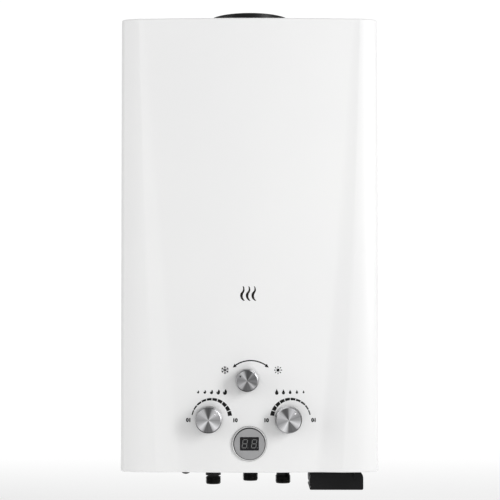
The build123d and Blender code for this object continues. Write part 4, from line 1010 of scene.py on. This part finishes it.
soften_node("battery_holder", 0.0004, black_plastic)
cell_wrap = finish("cell sleeve", (0.05, 0.11, 0.08), (0.07, 0.14, 0.10), 0.3, coat=0.4)
soften_node("battery_cells", 0.0006, cell_wrap)
spring_steel = finish("plated spring steel", (0.60, 0.60, 0.60), (0.70, 0.70, 0.70), 0.25, metal=1.0)
soften_node("battery_contacts", 0, spring_steel)


# ---- casing plates -------------------------------------------
# Zinc-plated sheet: the back plate with its wall tabs, the top plate and the base plate, and
# the two screws that hold the cover's sides to the back plate's flanges.

zinc = finish("zinc-plated sheet", (0.52, 0.53, 0.54), (0.62, 0.63, 0.64), 0.34, metal=1.0, grain=(500, 5),
              patch=(45, 5), stretch=(1, 1, 0.04), bump=0.06, rough_spread=0.1)
for name in ("back_plate", "top_plate", "base_plate", "carriers", "switch_bracket", "electrode_brackets"):
    soften_node(name, 0, zinc)
screw_steel = finish("plated screw", (0.62, 0.62, 0.60), (0.72, 0.71, 0.68), 0.24, metal=1.0, bump=0.03)
soften_node("cover_screws", 0.0003, screw_steel)


# ---- heat exchanger and flue hood ----------------------------
# A copper block of fins on three tubes over a copper chamber, under an aluminised steel hood.
# The burner below it is of the same sheet, and a mica pane lets its flame be seen.

copper = finish("copper", (0.62, 0.30, 0.17), (0.45, 0.20, 0.11), 0.32, metal=1.0, patch=(30, 5), bump=0.05)
for name in ("heat_fins", "core_tubes", "return_headers", "combustion_chamber", "cold_feed_pipe",
             "hot_outlet_pipe"):
    soften_node(name, 0, copper)
hood_steel = finish("aluminised sheet", (0.44, 0.43, 0.41), (0.52, 0.51, 0.48), 0.42, metal=1.0,
                    patch=(40, 5))
for name in ("draft_hood", "burner_frame", "burner_blades", "burner_manifold"):
    soften_node(name, 0, hood_steel)
mica = finish("smoked mica pane", (0.09, 0.07, 0.045), (0.14, 0.11, 0.07), 0.25, coat=0.3, patch=(150, 4))
soften_node("flame_window", 0, mica)


# ---- valves and controls inside ------------------------------
# Cast alloy gas and water bodies, brass cock, rods and jets, and the moulded electrical parts.

cast_alloy = finish("blasted casting", (0.42, 0.42, 0.42), (0.50, 0.50, 0.50), 0.5, metal=1.0,
                    grain=(1800, 4), bump=0.3)
for name in ("gas_valve_body", "water_valve_body", "water_valve_lid"):
    soften_node(name, 0, cast_alloy)
brass = finish("machined brass", (0.66, 0.50, 0.24), (0.56, 0.41, 0.18), 0.26, metal=1.0)
for name in ("season_valve", "push_rod", "gas_nozzles"):
    soften_node(name, 0, brass)
drawn_alloy = finish("drawn alloy tube", (0.60, 0.60, 0.60), (0.68, 0.68, 0.68), 0.28, metal=1.0)
soften_node("gas_feed_pipe", 0, drawn_alloy)
ceramic = finish("glazed ceramic", (0.78, 0.75, 0.68), (0.84, 0.82, 0.76), 0.15, coat=0.6)
for name in ("igniter_electrode", "flame_sensor"):
    soften_node(name, 0, ceramic)
moulded = finish("moulded electrical part", (0.02, 0.02, 0.022), (0.03, 0.03, 0.032), 0.4, bump=0.12)
for name in ("solenoid_valve", "microswitch", "switch_lever", "control_box", "control_box_lid",
             "display_module", "thermal_cutout", "spill_sensor"):
    soften_node(name, 0, moulded)
rubber = finish("black rubber", (0.02, 0.02, 0.02), (0.03, 0.03, 0.03), 0.6, bump=0.2)
soften_node("diaphragm", 0, rubber)


# ---- studio --------------------------------------------------
# A pale floor that runs out into a white surround, a large soft light at the front right, and
# weaker ones on the left and overhead.

def ramp_along_y(tree, coordinate, start, end, low, high):
    """A value that changes smoothly from front to back."""
    place = tree.nodes.new("ShaderNodeTexCoord")
    split = tree.nodes.new("ShaderNodeSeparateXYZ")
    ramp = tree.nodes.new("ShaderNodeMapRange")
    ramp.interpolation_type = "SMOOTHSTEP"
    for name, value in (("From Min", start), ("From Max", end), ("To Min", low), ("To Max", high)):
        ramp.inputs[name].default_value = value
    tree.links.new(place.outputs[coordinate], split.inputs["Vector"])
    tree.links.new(split.outputs["Y"], ramp.inputs["Value"])
    return ramp.outputs["Result"]


floor_half, floor_z = 9, -0.42
pale = bpy.data.materials.new("pale floor")
pale.use_nodes = True
ground = pale.node_tree
join = ground.links.new
matt = ground.nodes["Principled BSDF"]
matt.inputs["Roughness"].default_value = 0.8
mottle = noise_into(ground, 3, 3)
tint = ground.nodes.new("ShaderNodeValToRGB")
tint.color_ramp.elements[0].color = (0.86, 0.86, 0.86, 1)
tint.color_ramp.elements[1].color = (0.90, 0.90, 0.90, 1)
join(mottle.outputs["Fac"], tint.inputs["Fac"])
join(tint.outputs["Color"], matt.inputs["Base Color"])
glow = ground.nodes.new("ShaderNodeEmission")
glow.inputs["Strength"].default_value = 1.05
blend = ground.nodes.new("ShaderNodeMixShader")
join(ramp_along_y(ground, "Object", 0.25, 1.5, 0.6, 1.0), blend.inputs["Fac"])
join(matt.outputs["BSDF"], blend.inputs[1])
join(glow.outputs["Emission"], blend.inputs[2])
join(blend.outputs["Shader"], ground.nodes["Material Output"].inputs["Surface"])
floor = mesh_piece("floor", [
    (-floor_half, -floor_half, 0), (floor_half, -floor_half, 0), (floor_half, floor_half, 0),
    (-floor_half, floor_half, 0),
], [(0, 1, 2, 3)], pale)
floor.location = (0, 0, floor_z)
floor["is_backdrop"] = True

world = bpy.data.worlds.new("studio")
bpy.context.scene.world = world
world.use_nodes = True
air = world.node_tree
air.links.new(ramp_along_y(air, "Generated", 0.70, 0.94, 0.41, 1.04),
              air.nodes["Background"].inputs["Strength"])
air.nodes["Background"].inputs["Color"].default_value = (1, 1, 1, 1)

light_target = (0, -0.1, 0)


def soft_light(name, place, width, height, power):
    """A large rectangular soft light that faces the heater."""
    data = bpy.data.lights.new(name, "AREA")
    data.shape = "RECTANGLE"
    data.size = width
    data.size_y = height
    data.energy = power
    lamp = bpy.data.objects.new(name, data)
    bpy.context.scene.collection.objects.link(lamp)
    lamp.location = place
    lamp.rotation_euler = (Vector(light_target) - Vector(place)).to_track_quat("-Z", "Y").to_euler()


soft_light("key", (1.9, -1.8, 0.6), 0.8, 1.5, 37)
soft_light("overhead", (0.3, -0.9, 2.3), 1.1, 1.1, 2)
soft_light("fill", (-1.9, -0.85, 0.2), 0.9, 1.6, 11)

lens = bpy.data.cameras.new("camera")
lens.lens = 97.0
lens.sensor_width = 36
lens.shift_y = 0.05
camera = bpy.data.objects.new("camera", lens)
bpy.context.scene.collection.objects.link(camera)
azimuth, pitch = math.radians(0.194), math.radians(1.555)
camera.location = (0.0068, -1.9152, -0.0884)
camera.rotation_euler = (math.pi / 2 + pitch, 0, azimuth)
bpy.context.scene.camera = camera
bpy.context.scene.view_settings.view_transform = "Standard"

low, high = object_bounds()
